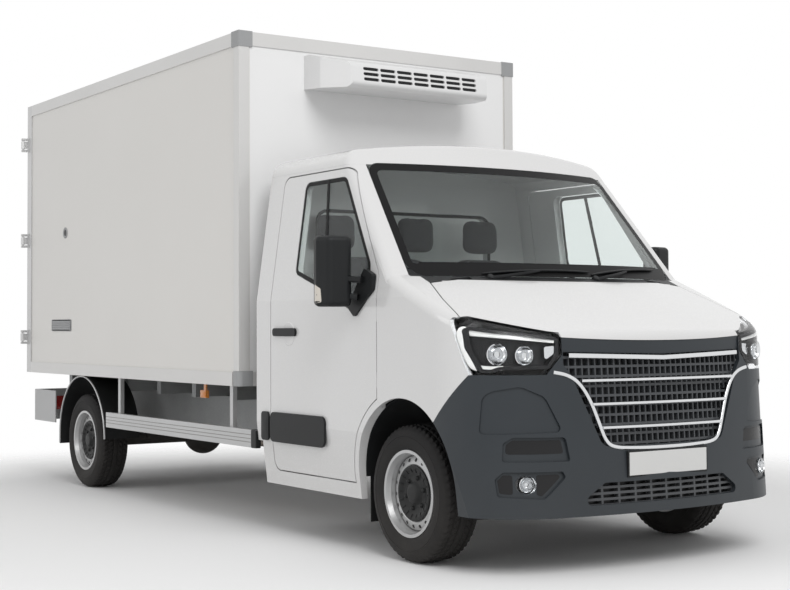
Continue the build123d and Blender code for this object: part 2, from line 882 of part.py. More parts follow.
# Hinge pins in the seams of the doors and the bonnet
bonnet_pin_x = screen_x(bonnet_flat_y, screen_base_z) + cowl_w - panel_gap / 2
bonnet_pin_z = bonnet_z(bonnet_pin_x) - (bonnet_crown_r - (bonnet_crown_r**2 - 765**2) ** 0.5) - 4
with BuildPart() as hinge_pins:
    for z in (920, 1260):
        with Locations((seam_x + panel_gap / 2, -cab_half + panel_gap / 2, z)):
            Cylinder(hinge_pin_r, 80)
    with Locations(Location((bonnet_pin_x, -765, bonnet_pin_z), (90, 0, 0))):
        Cylinder(hinge_pin_r, 70)
    mirror(about=Plane.XZ)

# Dashboard with steering column
dash_profile = (
    (-262.6, 862),
    (-400, 940),
    (-440, 1080),
    (-520, 1180),
    (-500, 1290),
    (-380, 1345),
    (-120, 1378),
    (20, 1385),
    (20, wing_top_z - 39),
    (-262.6, wing_top_z - 39),
)
wheel_tilt = 32
wheel_pos = (at(-690), 430, 1245)
column_dir = (cos(radians(wheel_tilt)), 0, -sin(radians(wheel_tilt)))
with BuildPart() as dashboard:
    with BuildSketch(Plane.XZ.offset(-880)):
        with BuildLine():
            Polyline(*[(at(x), z) for x, z in dash_profile], close=True)
        make_face()
    extrude(amount=1760)
    with BuildSketch(Plane(origin=wheel_pos, z_dir=column_dir).offset(40)):
        Circle(column_r)
    extrude(amount=190)
    add(cab_fit, mode=Mode.INTERSECT)
save(dashboard.part, "dashboard")

with BuildPart() as steering_wheel:
    wheel_plane = Plane(origin=wheel_pos, z_dir=column_dir)
    with Locations(Location(wheel_plane)):
        Torus(wheel_rim_r, 15)
    with BuildSketch(wheel_plane.offset(-5)):
        Circle(70)
        for angle in (0, 120, 240):
            with Locations(Location((0, 0, 0), (0, 0, angle))):
                Rectangle(wheel_rim_r, 36, align=(Align.MIN, Align.CENTER))
    extrude(amount=22)
    with BuildSketch(wheel_plane.offset(10)):
        Circle(column_r)
    extrude(amount=30 - seat_gap)
save(steering_wheel.part, "steering_wheel")

# Seats: driver on the left, double bench on the right
seat_table = (("driver", 455, 500), ("bench", -300, 900))
with BuildPart() as seats:
    for name, middle_y, width in seat_table:
        y0, y1 = middle_y - width / 2, middle_y + width / 2
        box_between(at(-1330), at(-850), y0 + 20, y1 - 20, cab_floor_z + 22 + seat_gap, 800)
        box_between(at(-1340), at(-830), y0, y1, 800, 930)
        with BuildSketch(Plane.XZ.offset(-y1)):
            with BuildLine():
                Polyline((at(-1250), 900), (at(-1370), 1500), (at(-1440), 1500), (at(-1380), 900), close=True)
            make_face()
        extrude(amount=width)
        heads = (middle_y,) if width < 600 else (middle_y - 225, middle_y + 225)
        for head_y in heads:
            box_between(at(-1440), at(-1365), head_y - 130, head_y + 130, 1490, 1690)
save(seats.part, "seats")

# Door fittings: mirror with base, arms and head, door handle and side moulding
mirror_seat = outer.moved(Location((0, -seat_gap, 0)))
mirror_arms = ((-350, -400, 1350), (-305, -395, 1440))
with BuildPart() as mirror_head:
    with BuildSketch(Plane.XY.offset(mirror_low_z)):
        with BuildLine():
            FilletPolyline(
                (at(-345), -mirror_head_y0),
                (at(-372), -mirror_head_y1 + 40),
                (at(-440), -mirror_head_y1),
                (at(-478), -mirror_head_y1 + 6),
                (at(-462), -mirror_head_y0),
                radius=(40, 45, 16, 10, 18),
                close=True,
            )
        make_face()
    extrude(amount=mirror_high_z - mirror_low_z)
    fillet(faces().filter_by(Axis.Z).edges(), radius=mirror_edge_r)
with BuildPart() as door_mirror:
    with BuildSketch(Plane.XZ.offset(mirror_base_y)):
        with BuildLine():
            FilletPolyline(
                *[
                    (at(x), z) for x,
                    z in ((-222, 1465), (-222, 1385), (-400, 1245), (-470, 1300), (-300, 1500))
                ],
                radius=(15, 15, 20, 20, 15),
                close=True,
            )
        make_face()
    extrude(amount=mirror_base_t)
    add(mirror_seat, mode=Mode.SUBTRACT)
    for base_x, head_x, z in mirror_arms:
        foot = Vector(at(base_x), -mirror_base_y - 34, z)
        tip = Vector(at(head_x), -mirror_head_y0 - 40, z + 8)
        with BuildSketch(Plane(origin=foot, x_dir=(0, 0, 1), z_dir=tip - foot)):
            RectangleRounded(34, 46, 12)
        extrude(amount=(tip - foot).length)
    add(mirror_head.part)
with BuildPart() as door_fittings_right:
    add(door_mirror.part)
    trim_y = cab_half + seat_gap
    with BuildSketch(Plane.XZ.offset(trim_y)):
        with Locations((at(-1015), 620)):
            RectangleRounded(610, 170, 40)
        with Locations((at(-1160), 1165)):
            RectangleRounded(260, 46, 20)
    extrude(amount=14)
save(door_fittings_right.part, "door_fittings_right")
save(door_fittings_right.part.mirror(Plane.XZ), "door_fittings_left")

# Chassis rails: channel sections, open inwards, set lower under the cab
rail_back_x = box_back_x + 66
rail_front_x = at(620)


def rail_outline(back_x, front_x, inset):
    """Side view of a chassis rail, drawn in from above and below."""
    return (
        (back_x, rail_top_z - inset),
        (at(-1720), rail_top_z - inset),
        (at(-1520), front_rail_top_z - inset),
        (front_x, front_rail_top_z - inset),
        (front_x, front_rail_low_z + inset),
        (at(-1570), front_rail_low_z + inset),
        (at(-1770), rail_low_z + inset),
        (back_x, rail_low_z + inset),
    )


rail_points = rail_outline(rail_back_x, rail_front_x, 0)
channel_points = rail_outline(rail_back_x - 50, rail_front_x + 50, rail_web_t)
with BuildPart() as chassis_rails:
    with BuildSketch(Plane.XZ.offset(rail_out_y - rail_flange)):
        with BuildLine():
            Polyline(*rail_points, close=True)
        make_face()
    extrude(amount=rail_flange)
    with BuildSketch(Plane.XZ.offset(rail_out_y - rail_flange)):
        with BuildLine():
            Polyline(*channel_points, close=True)
        make_face()
    extrude(amount=rail_flange - rail_web_t, mode=Mode.SUBTRACT)
    for x in cab_mount_xs:
        box_between(
            at(x) - 40, at(x) + 40, -rail_out_y + 5, -rail_out_y + 65, front_rail_top_z,
            cab_floor_z - seat_gap
        )
    mirror(about=Plane.XZ)

inner_y = rail_out_y - rail_web_t - seat_gap
with BuildPart() as chassis_crossmembers:
    for x, z0, z1 in crossmember_table:
        box_between(x - crossmember_w / 2, x + crossmember_w / 2, -inner_y, inner_y, z0, z1)
    plate_x = rail_back_x
    box_between(plate_x, plate_x + 12, -inner_y, inner_y, rail_low_z + 20, rail_top_z - 20)
    for face_y in (-1, 1):
        for face_z in (-1, 1):
            centre = (plate_x + 6, face_y * towbar_spacing_y / 2, towbar_z + face_z * towbar_spacing_z / 2)
            with Locations(Location(centre, (0, 90, 0))):
                Cylinder(towbar_hole_r, 40, mode=Mode.SUBTRACT)
with BuildPart() as chassis_frame:
    add(chassis_rails.part)
    add(chassis_crossmembers.part)
save(chassis_frame.part, "chassis_frame")

# Wheels: tyre, rim with vent holes, and for the front pair a knuckle on an upright steering axis
tyre_profile = (
    (211.4, -94),
    (224, -95.8),
    (262, -112),
    (318, -108),
    (tyre_r - 10, -92),
    (tyre_r, -72),
    (tyre_r, 72),
    (tyre_r - 10, 92),
    (318, 108),
    (262, 112),
    (224, 95.8),
    (211.4, 94),
    (204.5, 78),
    (202.5, 60),
    (216, 50),
    (216, -50),
    (202.5, -60),
    (204.5, -78),
)
rim_profile = (
    (rim_r, -96.5),
    (rim_r, -104),
    (rim_r - 16, -104),
    (rim_r - 26, -78),
    (rim_r - 30, -58),
    (rim_r - 52, -40),
    (rim_r - 52, 26),
    (rim_r - 30, 46),
    (rim_r - 26, 78),
    (rim_r - 16, 104),
    (rim_r, 104),
    (rim_r, 96.5),
    (rim_r - 9, 96.5),
    (rim_r - 17, 78),
    (rim_r - 20, 52),
    (rim_r - 44, 32),
    (rim_r - 44, -46),
    (rim_r - 20, -64),
    (rim_r - 17, -78),
    (rim_r - 9, -96.5),
)
disc_profile = (
    (disc_bore_r, 44), (108, 44), (128, 62), (150, 62), (rim_r - 46, 20), (rim_r - 46, 8), (144, 50),
    (132, 50), (112, 34), (disc_bore_r, 34)
)


def wheel_pieces(axle_x, side):
    """Tyre and rim of one wheel, drawn about its axle with the outside towards the given side."""
    middle = (axle_x, side * wheel_y, axle_z)
    wheel_axis = Axis(middle, (0, 1, 0))
    section = Plane(origin=middle, x_dir=(1, 0, 0), z_dir=(0, 0, 1))
    with BuildPart() as tyre:
        with BuildSketch(section):
            with BuildLine():
                Polyline(*[(r, side * w) for r, w in tyre_profile], close=True)
            make_face()
        revolve(axis=wheel_axis)
    with BuildPart() as rim:
        with BuildSketch(section):
            with BuildLine():
                Polyline(*[(r, side * w) for r, w in rim_profile], close=True)
            make_face()
            with BuildLine():
                Polyline(*[(r, side * w) for r, w in disc_profile], close=True)
            make_face()
        revolve(axis=wheel_axis)
        with BuildSketch(Plane(origin=middle, x_dir=(1, 0, 0), z_dir=(0, -1, 0))):
            with PolarLocations(139, vent_count):
                Circle(vent_r)
        extrude(amount=150, both=True, mode=Mode.SUBTRACT)
        with BuildSketch(Plane(origin=middle, x_dir=(1, 0, 0), z_dir=(0, side, 0)).offset(44)):
            Circle(hub_cover_r - 30)
            Circle(disc_bore_r, mode=Mode.SUBTRACT)
        extrude(amount=hub_cover_t)
    return tyre.part, rim.part


corners = (
    ("front_right", front_axle_x, -1),
    ("front_left", front_axle_x, 1),
    ("rear_right", rear_axle_x, -1),
    ("rear_left", rear_axle_x, 1),
)
for name, axle_x, side in corners:
    tyre_part, rim_part = wheel_pieces(axle_x, side)
    save(tyre_part, f"tyre_{name}")
    save(rim_part, f"rim_{name}")

with BuildPart() as knuckle_right:
    box_between(
        front_axle_x - 32, front_axle_x + 32, -kingpin_y - 28, -kingpin_y + 28, knuckle_low_z,
        knuckle_high_z
    )
    with Locations(Location((front_axle_x, -kingpin_y - 20, axle_z), (90, 0, 0))):
        Cylinder(
            hub_r, wheel_y + disc_seat - seat_gap - kingpin_y - 20,
            align=(Align.CENTER, Align.CENTER, Align.MIN)
        )
        Cylinder(stub_r, wheel_y + stub_end - kingpin_y - 20, align=(Align.CENTER, Align.CENTER, Align.MIN))
    with Locations(Location((front_axle_x, -kingpin_y - 50, axle_z), (90, 0, 0))):
        Cylinder(brake_r, 14, align=(Align.CENTER, Align.CENTER, Align.MIN))
save(knuckle_right.part, "knuckle_right")
save(knuckle_right.part.mirror(Plane.XZ), "knuckle_left")

# Front suspension: cross beam, wishbones and spring legs
with BuildPart() as front_suspension:
    box_between(front_axle_x - 70, front_axle_x + 70, -430, 430, 262, front_rail_low_z - seat_gap)
    for side in (-1, 1):
        for low, high, start_y in (
            (196, knuckle_low_z - seat_gap, 425),
            (knuckle_high_z + seat_gap, 498, rail_out_y + seat_gap)
        ):
            with BuildSketch(Plane.XY.offset(low)):
                with BuildLine():
                    Polyline(
                        (front_axle_x - 125, side * start_y),
                        (front_axle_x - 20, side * (kingpin_y + 18)),
                        (front_axle_x + 20, side * (kingpin_y + 18)),
                        (front_axle_x + 125, side * start_y),
                        close=True,
                    )
                make_face()
                with BuildLine():
                    Polyline(
                        (front_axle_x - 84, side * (start_y - 5)),
                        (front_axle_x, side * 735),
                        (front_axle_x + 84, side * (start_y - 5)),
                        close=True,
                    )
                make_face(mode=Mode.SUBTRACT)
            extrude(amount=high - low)
        box_between(front_axle_x - 110, front_axle_x + 110, side * 380, side * 426, 196, 300)
save(front_suspension.part, "front_suspension")

# Rear axle with differential and hubs, leaf springs and drive shaft
with BuildPart() as rear_axle:
    with Locations(Location((rear_axle_x, 0, axle_z), (90, 0, 0))):
        Cylinder(axle_tube_r, 2 * (wheel_y - 60))
        Cylinder(stub_r, 2 * (wheel_y + stub_end))
    for side in (-1, 1):
        with Locations(Location((rear_axle_x, side * (wheel_y - 25), axle_z), (-90 * side, 0, 0))):
            Cylinder(hub_r, disc_seat - seat_gap + 25, align=(Align.CENTER, Align.CENTER, Align.MIN))
            Cylinder(brake_r, 40, align=(Align.CENTER, Align.CENTER, Align.MIN))
        box_between(rear_axle_x - 60, rear_axle_x + 60, side * 430, side * 500, axle_z, spring_seat_z)
    with Locations((rear_axle_x, 0, axle_z)):
        Sphere(diff_r)
save(rear_axle.part, "rear_axle")

with BuildPart() as rear_springs:
    with BuildSketch(Plane.XZ.offset(432)):
        with BuildLine():
            low_z = spring_seat_z + seat_gap
            end_z = rail_low_z - 40
            lower = ThreePointArc(
                (rear_axle_x - spring_half, end_z),
                (rear_axle_x, low_z),
                (rear_axle_x + spring_half, end_z),
            )
            Line(lower @ 1, (rear_axle_x + spring_half, end_z + 16))
            upper = ThreePointArc(
                (rear_axle_x + spring_half, end_z + 16),
                (rear_axle_x, low_z + 36),
                (rear_axle_x - spring_half, end_z + 16),
            )
            Line(upper @ 1, lower @ 0)
        make_face()
    extrude(amount=66)
    for end in (-1, 1):
        x = rear_axle_x + end * (spring_half - 30)
        box_between(x - 30, x + 30, -500, -430, end_z + 8, rail_low_z - seat_gap)
    mirror(about=Plane.XZ)
save(rear_springs.part, "rear_springs")

with BuildPart() as drive_shaft:
    start, end = (gearbox_back_x - 1, 0, gearbox_z), (rear_axle_x + diff_r + 0.5, 0, axle_z)
    run = Vector(*end) - Vector(*start)
    with BuildSketch(Plane(origin=start, z_dir=run.normalized())):
        Circle(shaft_r)
    extrude(amount=run.length)
save(drive_shaft.part, "drive_shaft")

# Engine with gearbox, as one plain block
with BuildPart() as engine_block:
    box_between(at(-140), at(430), -260, 260, 400, 1010)
    box_between(gearbox_back_x, at(-140), -150, 150, 345, 505)
    for side in (-1, 1):
        box_between(at(110), at(190), side * 250, side * (rail_out_y - rail_flange - seat_gap), 430, 500)
save(engine_block.part, "engine_block")

# Fuel tank on the left rail, exhaust along the right
with BuildPart() as fuel_tank:
    with BuildSketch(Plane.XZ.offset(-880)):
        with Locations((at(-2450), 540)):
            RectangleRounded(900, 260, 50)
    extrude(amount=880 - rail_out_y - seat_gap)
save(fuel_tank.part, "fuel_tank")
with BuildPart() as exhaust:
    for x0, x1, radius, z in ((-2900, -300, 30, 400), (-2400, -1750, 95, 450)):
        with Locations(Location((at((x0 + x1) / 2), -300, z), (0, 90, 0))):
            Cylinder(radius, x1 - x0)
    box_between(at(-1820), at(-1780), -318, -282, 480, 560 - seat_gap)
    box_between(at(-920), at(-880), -318, -282, 410, 470 - seat_gap)
save(exhaust.part, "exhaust")

# Box body: insulated floor, walls and roof, each as thick as the whole panel
skin_y = box_half - rail_proud
skin_front_x = box_front_x - rail_proud
frame_front_x = box_back_x + rear_frame_d
roof_low_z = box_high_z - rail_proud - box_wall
floor_top_z = box_low_z + box_floor_t
wall_in_y = skin_y - box_wall
wall_front_in_x = skin_front_x - box_wall
with BuildPart() as box_floor:
    box_between(
        frame_front_x + seat_gap,
        wall_front_in_x - seat_gap,
        -wall_in_y + seat_gap,
        wall_in_y - seat_gap,
        box_low_z,
        floor_top_z,
    )
save(box_floor.part, "box_floor")
with BuildPart() as box_side_walls:
    box_between(frame_front_x + seat_gap, skin_front_x, -skin_y, -wall_in_y, box_low_z, roof_low_z - seat_gap)
    mirror(about=Plane.XZ)
save(box_side_walls.part, "box_side_walls")
with BuildPart() as box_front_wall:
    box_between(
        wall_front_in_x,
        skin_front_x,
        -wall_in_y + seat_gap,
        wall_in_y - seat_gap,
        box_low_z,
        roof_low_z - seat_gap,
    )
save(box_front_wall.part, "box_front_wall")
with BuildPart() as box_roof:
    box_between(frame_front_x + seat_gap, skin_front_x, -skin_y, skin_y, roof_low_z, box_high_z - rail_proud)
save(box_roof.part, "box_roof")

# Edge rails between the corner caps, and the caps
rail_in = seat_gap
with BuildPart() as box_edge_rails:
    rail_back, rail_front = frame_front_x + seat_gap, box_front_x - cap_size - seat_gap
    box_between(rail_back, rail_front, -box_half, -skin_y - rail_in, box_high_z - rail_h, box_high_z)
    box_between(
        rail_back, rail_front, -box_half, -box_half + rail_w, box_high_z - rail_proud + rail_in,
        box_high_z
    )
    box_between(rail_back, rail_front, -box_half, -skin_y - rail_in, box_low_z, box_low_z + rail_h)
    post_low, post_high = box_low_z + cap_size + seat_gap, box_high_z - cap_size - seat_gap
    box_between(box_front_x - post_w, box_front_x, -box_half, -skin_y - rail_in, post_low, post_high)
    box_between(skin_front_x + rail_in, box_front_x, -box_half, -box_half + post_w, post_low, post_high)
    mirror(about=Plane.XZ)
    front_half = box_half - cap_size - seat_gap
    box_between(skin_front_x + rail_in, box_front_x, -front_half, front_half, box_high_z - rail_h, box_high_z)
    box_between(
        box_front_x - rail_w, box_front_x, -front_half, front_half, box_high_z - rail_proud + rail_in,
        box_high_z
    )
    box_between(skin_front_x + rail_in, box_front_x, -front_half, front_half, box_low_z, box_low_z + rail_h)
save(box_edge_rails.part, "box_edge_rails")

with BuildPart() as box_corner_caps:
    for low_z, top in ((box_high_z - cap_size, True), (box_low_z, False)):
        box_between(
            box_front_x - cap_size, box_front_x + cap_proud, -box_half - cap_proud,
            -box_half + cap_size, low_z, low_z + cap_size + (cap_proud if top else 0)
        )
    fillet(
        edges().filter_by(Axis.Z).sort_by_distance((box_front_x + 200, -box_half - 200, 1900))[0:2],
        radius=30
    )
    top_z = box_high_z - rail_proud + rail_in
    box_between_cut = zone(
        box_front_x - 2 * cap_size, skin_front_x + rail_in, -skin_y - rail_in, 0, box_low_z - 50, top_z
    )
    add(box_between_cut, mode=Mode.SUBTRACT)
    mirror(about=Plane.XZ)
save(box_corner_caps.part, "box_corner_caps")

# Rear frame: two posts, header and sill
with BuildPart() as box_rear_frame:
    post_in = box_half - rear_post_w
    box_between(box_back_x, frame_front_x, -box_half, -post_in, box_low_z, box_high_z)
    mirror(about=Plane.XZ)
    box_between(
        box_back_x, frame_front_x, -post_in + seat_gap, post_in - seat_gap, box_high_z - rear_frame_d,
        box_high_z
    )
    box_between(box_back_x, frame_front_x, -post_in + seat_gap, post_in - seat_gap, box_low_z, floor_top_z)
save(box_rear_frame.part, "box_rear_frame")

# Rear doors on outside pins, with straps and lock bars
hinge_x = box_back_x - rear_pin_back
hinge_y = box_half + rear_pin_out
door_low, door_high = floor_top_z + rear_door_gap, box_high_z - rear_frame_d - rear_door_gap
with BuildPart() as rear_door_right:
    box_between(
        box_back_x, box_back_x + rear_door_t, -post_in + rear_door_gap, -rear_door_middle, door_low,
        door_high
    )
save(rear_door_right.part, "rear_door_right")
save(rear_door_right.part.mirror(Plane.XZ), "rear_door_left")

with BuildPart() as rear_door_gear_right:
    back = box_back_x - seat_gap
    for z in rear_hinge_zs:
        with Locations((hinge_x, -hinge_y, z)):
            Cylinder(16, 60)
        box_between(back - 10, back, -hinge_y, -post_in + 190, z - 28, z + 28)
        with Locations((hinge_x, -hinge_y, z)):
            Cylinder(rear_pin_r + seat_gap, 60, mode=Mode.SUBTRACT)
    with Locations((back - 22, -lock_bar_y, (door_low + door_high) / 2)):
        Cylinder(12, door_high - door_low + 60)
    for z in (door_low + 60, 1500, 2300, door_high - 60):
        box_between(back - 24, back, -lock_bar_y - 30, -lock_bar_y + 30, z - 25, z + 25)
    box_between(back - 34, back - 20, -lock_bar_y - 14, -lock_bar_y + 330, 1330, 1362)
    box_between(back - 24, back, -lock_bar_y + 250, -lock_bar_y + 300, 1320, 1372)
save(rear_door_gear_right.part, "rear_door_gear_right")
save(rear_door_gear_right.part.mirror(Plane.XZ), "rear_door_gear_left")

with BuildPart() as rear_hinges:
    for z in rear_hinge_zs:
        with Locations((hinge_x, -hinge_y, z)):
            Cylinder(rear_pin_r, 110)
        for end in (-1, 1):
            box_between(
                hinge_x - 12, hinge_x + 12, -hinge_y - 12, -box_half - seat_gap, z + end * 36,
                z + end * 55
            )
            box_between(
                hinge_x - 12, box_back_x + 40, -box_half - 8, -box_half - seat_gap, z + end * 36,
                z + end * 55
            )
    mirror(about=Plane.XZ)
with BuildPart() as all_hinge_pins:
    add(hinge_pins.part)
    add(rear_hinges.part)
save(all_hinge_pins.part, "hinge_pins")

# Cooler unit on the front wall, with slots through its front
with BuildPart() as cooler_unit:
    back_x = skin_front_x + seat_gap
    with BuildSketch(Plane.XZ.offset(-unit_half)):
        with BuildLine():
            FilletPolyline(
                (back_x, unit_low_z + 30),
                (back_x + unit_depth - 40, unit_low_z),
                (back_x + unit_depth, unit_low_z + 20),
                (back_x + unit_depth - 20, unit_low_z + 150),
                (back_x + 60, unit_high_z),
                (back_x, unit_high_z),
                radius=(2, 30, 25, 45, 20, 2),
                close=True,
            )
        make_face()
    extrude(amount=2 * unit_half)
    with BuildSketch(Plane.XY.offset(unit_low_z - 50)):
        with BuildLine():
            FilletPolyline(
                (back_x - 50, -unit_half),
                (back_x + 190, -unit_half),
                (back_x + unit_depth + 20, -unit_front_half),
                (back_x + unit_depth + 20, unit_front_half),
                (back_x + 190, unit_half),
                (back_x - 50, unit_half),
                radius=(1, 60, 60, 60, 60, 1),
                close=True,
            )
        make_face()
    extrude(amount=unit_high_z - unit_low_z + 100, mode=Mode.INTERSECT)
    slot_pitch = 2 * unit_slot_half / unit_slot_columns
    with BuildSketch(Plane.YZ.offset(back_x + unit_depth - 60)):
        for row in range(unit_slot_rows):
            for column in range(unit_slot_columns):
                with Locations((-unit_slot_half + slot_pitch * (column + 0.5), unit_low_z + 52 + row * 32)):
                    SlotOverall(slot_pitch - 12, 20)
    extrude(amount=100, mode=Mode.SUBTRACT)
save(cooler_unit.part, "cooler_unit")

# Bearers under the box
with BuildPart() as box_bearers:
    first_x, last_x = frame_front_x + 60, box_front_x - 130
    for i in range(bearer_count):
        x = first_x + (last_x - first_x) * i / (bearer_count - 1)
        box_between(
            x - bearer_w / 2, x + bearer_w / 2, -bearer_half, bearer_half, rail_top_z + seat_gap,
            box_low_z - seat_gap
        )
save(box_bearers.part, "box_bearers")

# Side guards on posts, rear mudguards, rear bumper and lamps
with BuildPart() as side_guards:
    box_between(
        guard_back_x, guard_front_x, -guard_y - guard_t / 2, -guard_y + guard_t / 2, guard_low_z,
        guard_high_z
    )
    for x in guard_post_xs:
        box_between(
            at(x) - guard_post_w / 2, at(x) + guard_post_w / 2, -guard_y + guard_t / 2,
            -guard_y + guard_t / 2 + guard_post_t, guard_low_z, box_low_z - seat_gap
        )
    box_between(
        guard_front_x + seat_gap, guard_front_x + guard_cap_len, -guard_y - guard_t / 2,
        -guard_y + guard_t / 2, guard_low_z, guard_high_z
    )
    mirror(about=Plane.XZ)
save(side_guards.part, "side_guards")

with BuildPart() as rear_mudguards:
    with BuildSketch(Plane.XZ.offset(bearer_half + seat_gap)):
        with Locations((rear_axle_x, mudguard_z)):
            Circle(mudguard_r + mudguard_t)
            Circle(mudguard_r, mode=Mode.SUBTRACT)
        with Locations((rear_axle_x, mudguard_z - 500)):
            Rectangle(1200, 1000, mode=Mode.SUBTRACT)
        with Locations((rear_axle_x - mudguard_r - mudguard_t / 2, mudguard_z - 40)):
            Rectangle(mudguard_t, 90)
    extrude(amount=mudguard_w)
    mirror(about=Plane.XZ)
save(rear_mudguards.part, "rear_mudguards")

with BuildPart() as rear_bumper:
    rear_x = rail_back_x - seat_gap
    box_between(
        rear_x - rear_bumper_t, rear_x, -rear_bumper_half, rear_bumper_half, rear_bumper_low_z,
        rear_bumper_high_z
    )
    for side in (-1, 1):
        box_between(
            rear_x - 1, rear_x + rear_bumper_return, side * (rear_bumper_half - 8),
            side * rear_bumper_half, rear_bumper_low_z, rear_bumper_high_z
        )
    for side in (-1, 1):
        with Locations((rear_x - rear_bumper_t / 2, side * rear_lamp_y, rear_lamp_z)):
            Box(rear_bumper_t + 10, rear_lamp_w, rear_lamp_h, mode=Mode.SUBTRACT)
    box_between(rear_x - 60, rear_x + 6, -140, 140, towbar_z - 90, towbar_z + 90)
    cut = zone(rear_x - 100, rear_x + 30, -150, 150, towbar_z - 100, towbar_z + 100)
    add(cut, mode=Mode.SUBTRACT)
save(rear_bumper.part, "rear_bumper")

with BuildPart() as rear_lamps:
    with Locations((rear_x - rear_bumper_t / 2 - 4, -rear_lamp_y, rear_lamp_z)):
        Box(rear_bumper_t + 8, rear_lamp_w - 2 * seat_gap, rear_lamp_h - 2 * seat_gap)
    mirror(about=Plane.XZ)

with BuildPart() as marker_lamps:
    for x in marker_xs:
        box_between(at(x) - 40, at(x) + 40, -1012, -990, 748, 796)
        box_between(at(x) - 15, at(x) + 15, -1000, -990, 790, box_low_z - seat_gap)
    mirror(about=Plane.XZ)
with BuildPart() as body_lamps:
    add(rear_lamps.part)
    add(marker_lamps.part)
save(body_lamps.part, "body_lamps")
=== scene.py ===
"""Trim, finishes, light and camera for a refrigerated truck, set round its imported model."""

import json
from functools import partial

import bmesh
import bpy
import numpy as np
from mathutils import Matrix, Vector


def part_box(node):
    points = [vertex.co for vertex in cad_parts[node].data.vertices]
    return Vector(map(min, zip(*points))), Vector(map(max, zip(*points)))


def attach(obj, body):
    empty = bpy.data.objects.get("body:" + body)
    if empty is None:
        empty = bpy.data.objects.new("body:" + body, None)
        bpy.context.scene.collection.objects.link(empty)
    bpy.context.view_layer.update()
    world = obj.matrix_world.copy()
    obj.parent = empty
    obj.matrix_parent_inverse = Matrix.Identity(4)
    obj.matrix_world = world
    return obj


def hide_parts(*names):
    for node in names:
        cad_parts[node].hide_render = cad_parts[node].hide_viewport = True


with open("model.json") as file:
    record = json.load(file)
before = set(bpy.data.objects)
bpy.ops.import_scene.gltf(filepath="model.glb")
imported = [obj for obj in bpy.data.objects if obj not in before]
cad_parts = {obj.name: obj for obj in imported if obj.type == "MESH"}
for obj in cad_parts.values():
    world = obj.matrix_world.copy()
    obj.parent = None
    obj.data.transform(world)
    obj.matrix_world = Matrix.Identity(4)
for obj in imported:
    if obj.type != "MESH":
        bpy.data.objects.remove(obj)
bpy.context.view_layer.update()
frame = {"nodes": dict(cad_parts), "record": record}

bl_info = {
    "name": "Refrigerated truck",
    "version": (1, 0, 0),
    "blender": (4, 5, 0),
    "location": "View3D > Sidebar > Truck",
    "description": "Dresses the packed truck with trim, finishes, light and a camera",
    "category": "Object",
}

# Places along the truck, in metres
front_axle_x = 2.284
rear_axle_x = -2.048
nose_tip_x = 3.154
nose_arc_r = 3.2
nose_corner_r = 0.47
nose_corner_x = nose_tip_x - 0.5291
nose_corner_y = 0.565
nose_arc_end_y = 0.6623
nose_base_z = 0.285
nose_lean = 0.06
cab_side_y = 1.035
screen_base_x = front_axle_x + 0.12
screen_base_z = 1.44
screen_slope = 0.61 / 0.68
screen_arc_r = 2.6


def nose_x(y, z):
    """Nose of the cab: a wide arc in plan, a tighter arc round each corner, leaning back with height."""
    y = np.abs(np.asarray(y, float))
    wide = nose_tip_x - nose_arc_r + np.sqrt(nose_arc_r**2 - y**2)
    round_y = np.clip(y - nose_corner_y, 0, nose_corner_r)
    corner = nose_corner_x + np.sqrt(nose_corner_r**2 - round_y**2)
    return np.where(y < nose_arc_end_y, wide, corner) - nose_lean * (np.asarray(z, float) - nose_base_z)


def screen_x(y, z):
    """Outside of the wind screen: an arc in plan, leaning back at a steady slope."""
    sag = screen_arc_r - np.sqrt(screen_arc_r**2 - np.asarray(y, float) ** 2)
    return screen_base_x - sag - (np.asarray(z, float) - screen_base_z) * screen_slope


# Grids of points and the meshes made from them


def quads(rows, columns, loop_rows, loop_columns):
    """Corner numbers of the faces between neighbouring points of a grid, wrapped round where it loops."""
    row = np.arange(rows if loop_rows else rows - 1)
    column = np.arange(columns if loop_columns else columns - 1)
    row, column = (a.ravel() for a in np.meshgrid(row, column, indexing="ij"))
    next_row, next_column = (row + 1) % rows, (column + 1) % columns
    corners = (
        row * columns + column,
        row * columns + next_column,
        next_row * columns + next_column,
        next_row * columns + column,
    )
    return np.stack(corners, 1)


def piece(name, grids, body, slot=None, material=None, sharp=35, thickness=0.0):
    """One object from grids of points, each (points, rows loop, columns loop), riding on one body.

    Points that fall together, as at a pole, are merged, and the faces are turned outwards.
    """
    points, faces, count = [], [], 0
    for grid, loop_rows, loop_columns in grids:
        rows, columns = grid.shape[:2]
        points.append(grid.reshape(-1, 3))
        faces.append(quads(rows, columns, loop_rows, loop_columns) + count)
        count += rows * columns
    mesh = bpy.data.meshes.new(name)
    mesh.from_pydata(np.concatenate(points), [], np.concatenate(faces).tolist())
    shell = bmesh.new()
    shell.from_mesh(mesh)
    bmesh.ops.remove_doubles(shell, verts=shell.verts, dist=2e-6)
    bmesh.ops.dissolve_degenerate(shell, edges=shell.edges, dist=1e-6)
    bmesh.ops.recalc_face_normals(shell, faces=shell.faces)
    shell.to_mesh(mesh)
    shell.free()
    mesh.shade_smooth()
    mesh.set_sharp_from_angle(angle=np.radians(sharp))
    made = bpy.data.objects.new(name, mesh)
    bpy.context.scene.collection.objects.link(made)
    mesh.materials.append(bpy.data.materials[material or slot])
    if thickness:
        wall = made.modifiers.new("wall", "SOLIDIFY")
        wall.thickness = thickness
        wall.offset = 0
    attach(made, body)
    return made


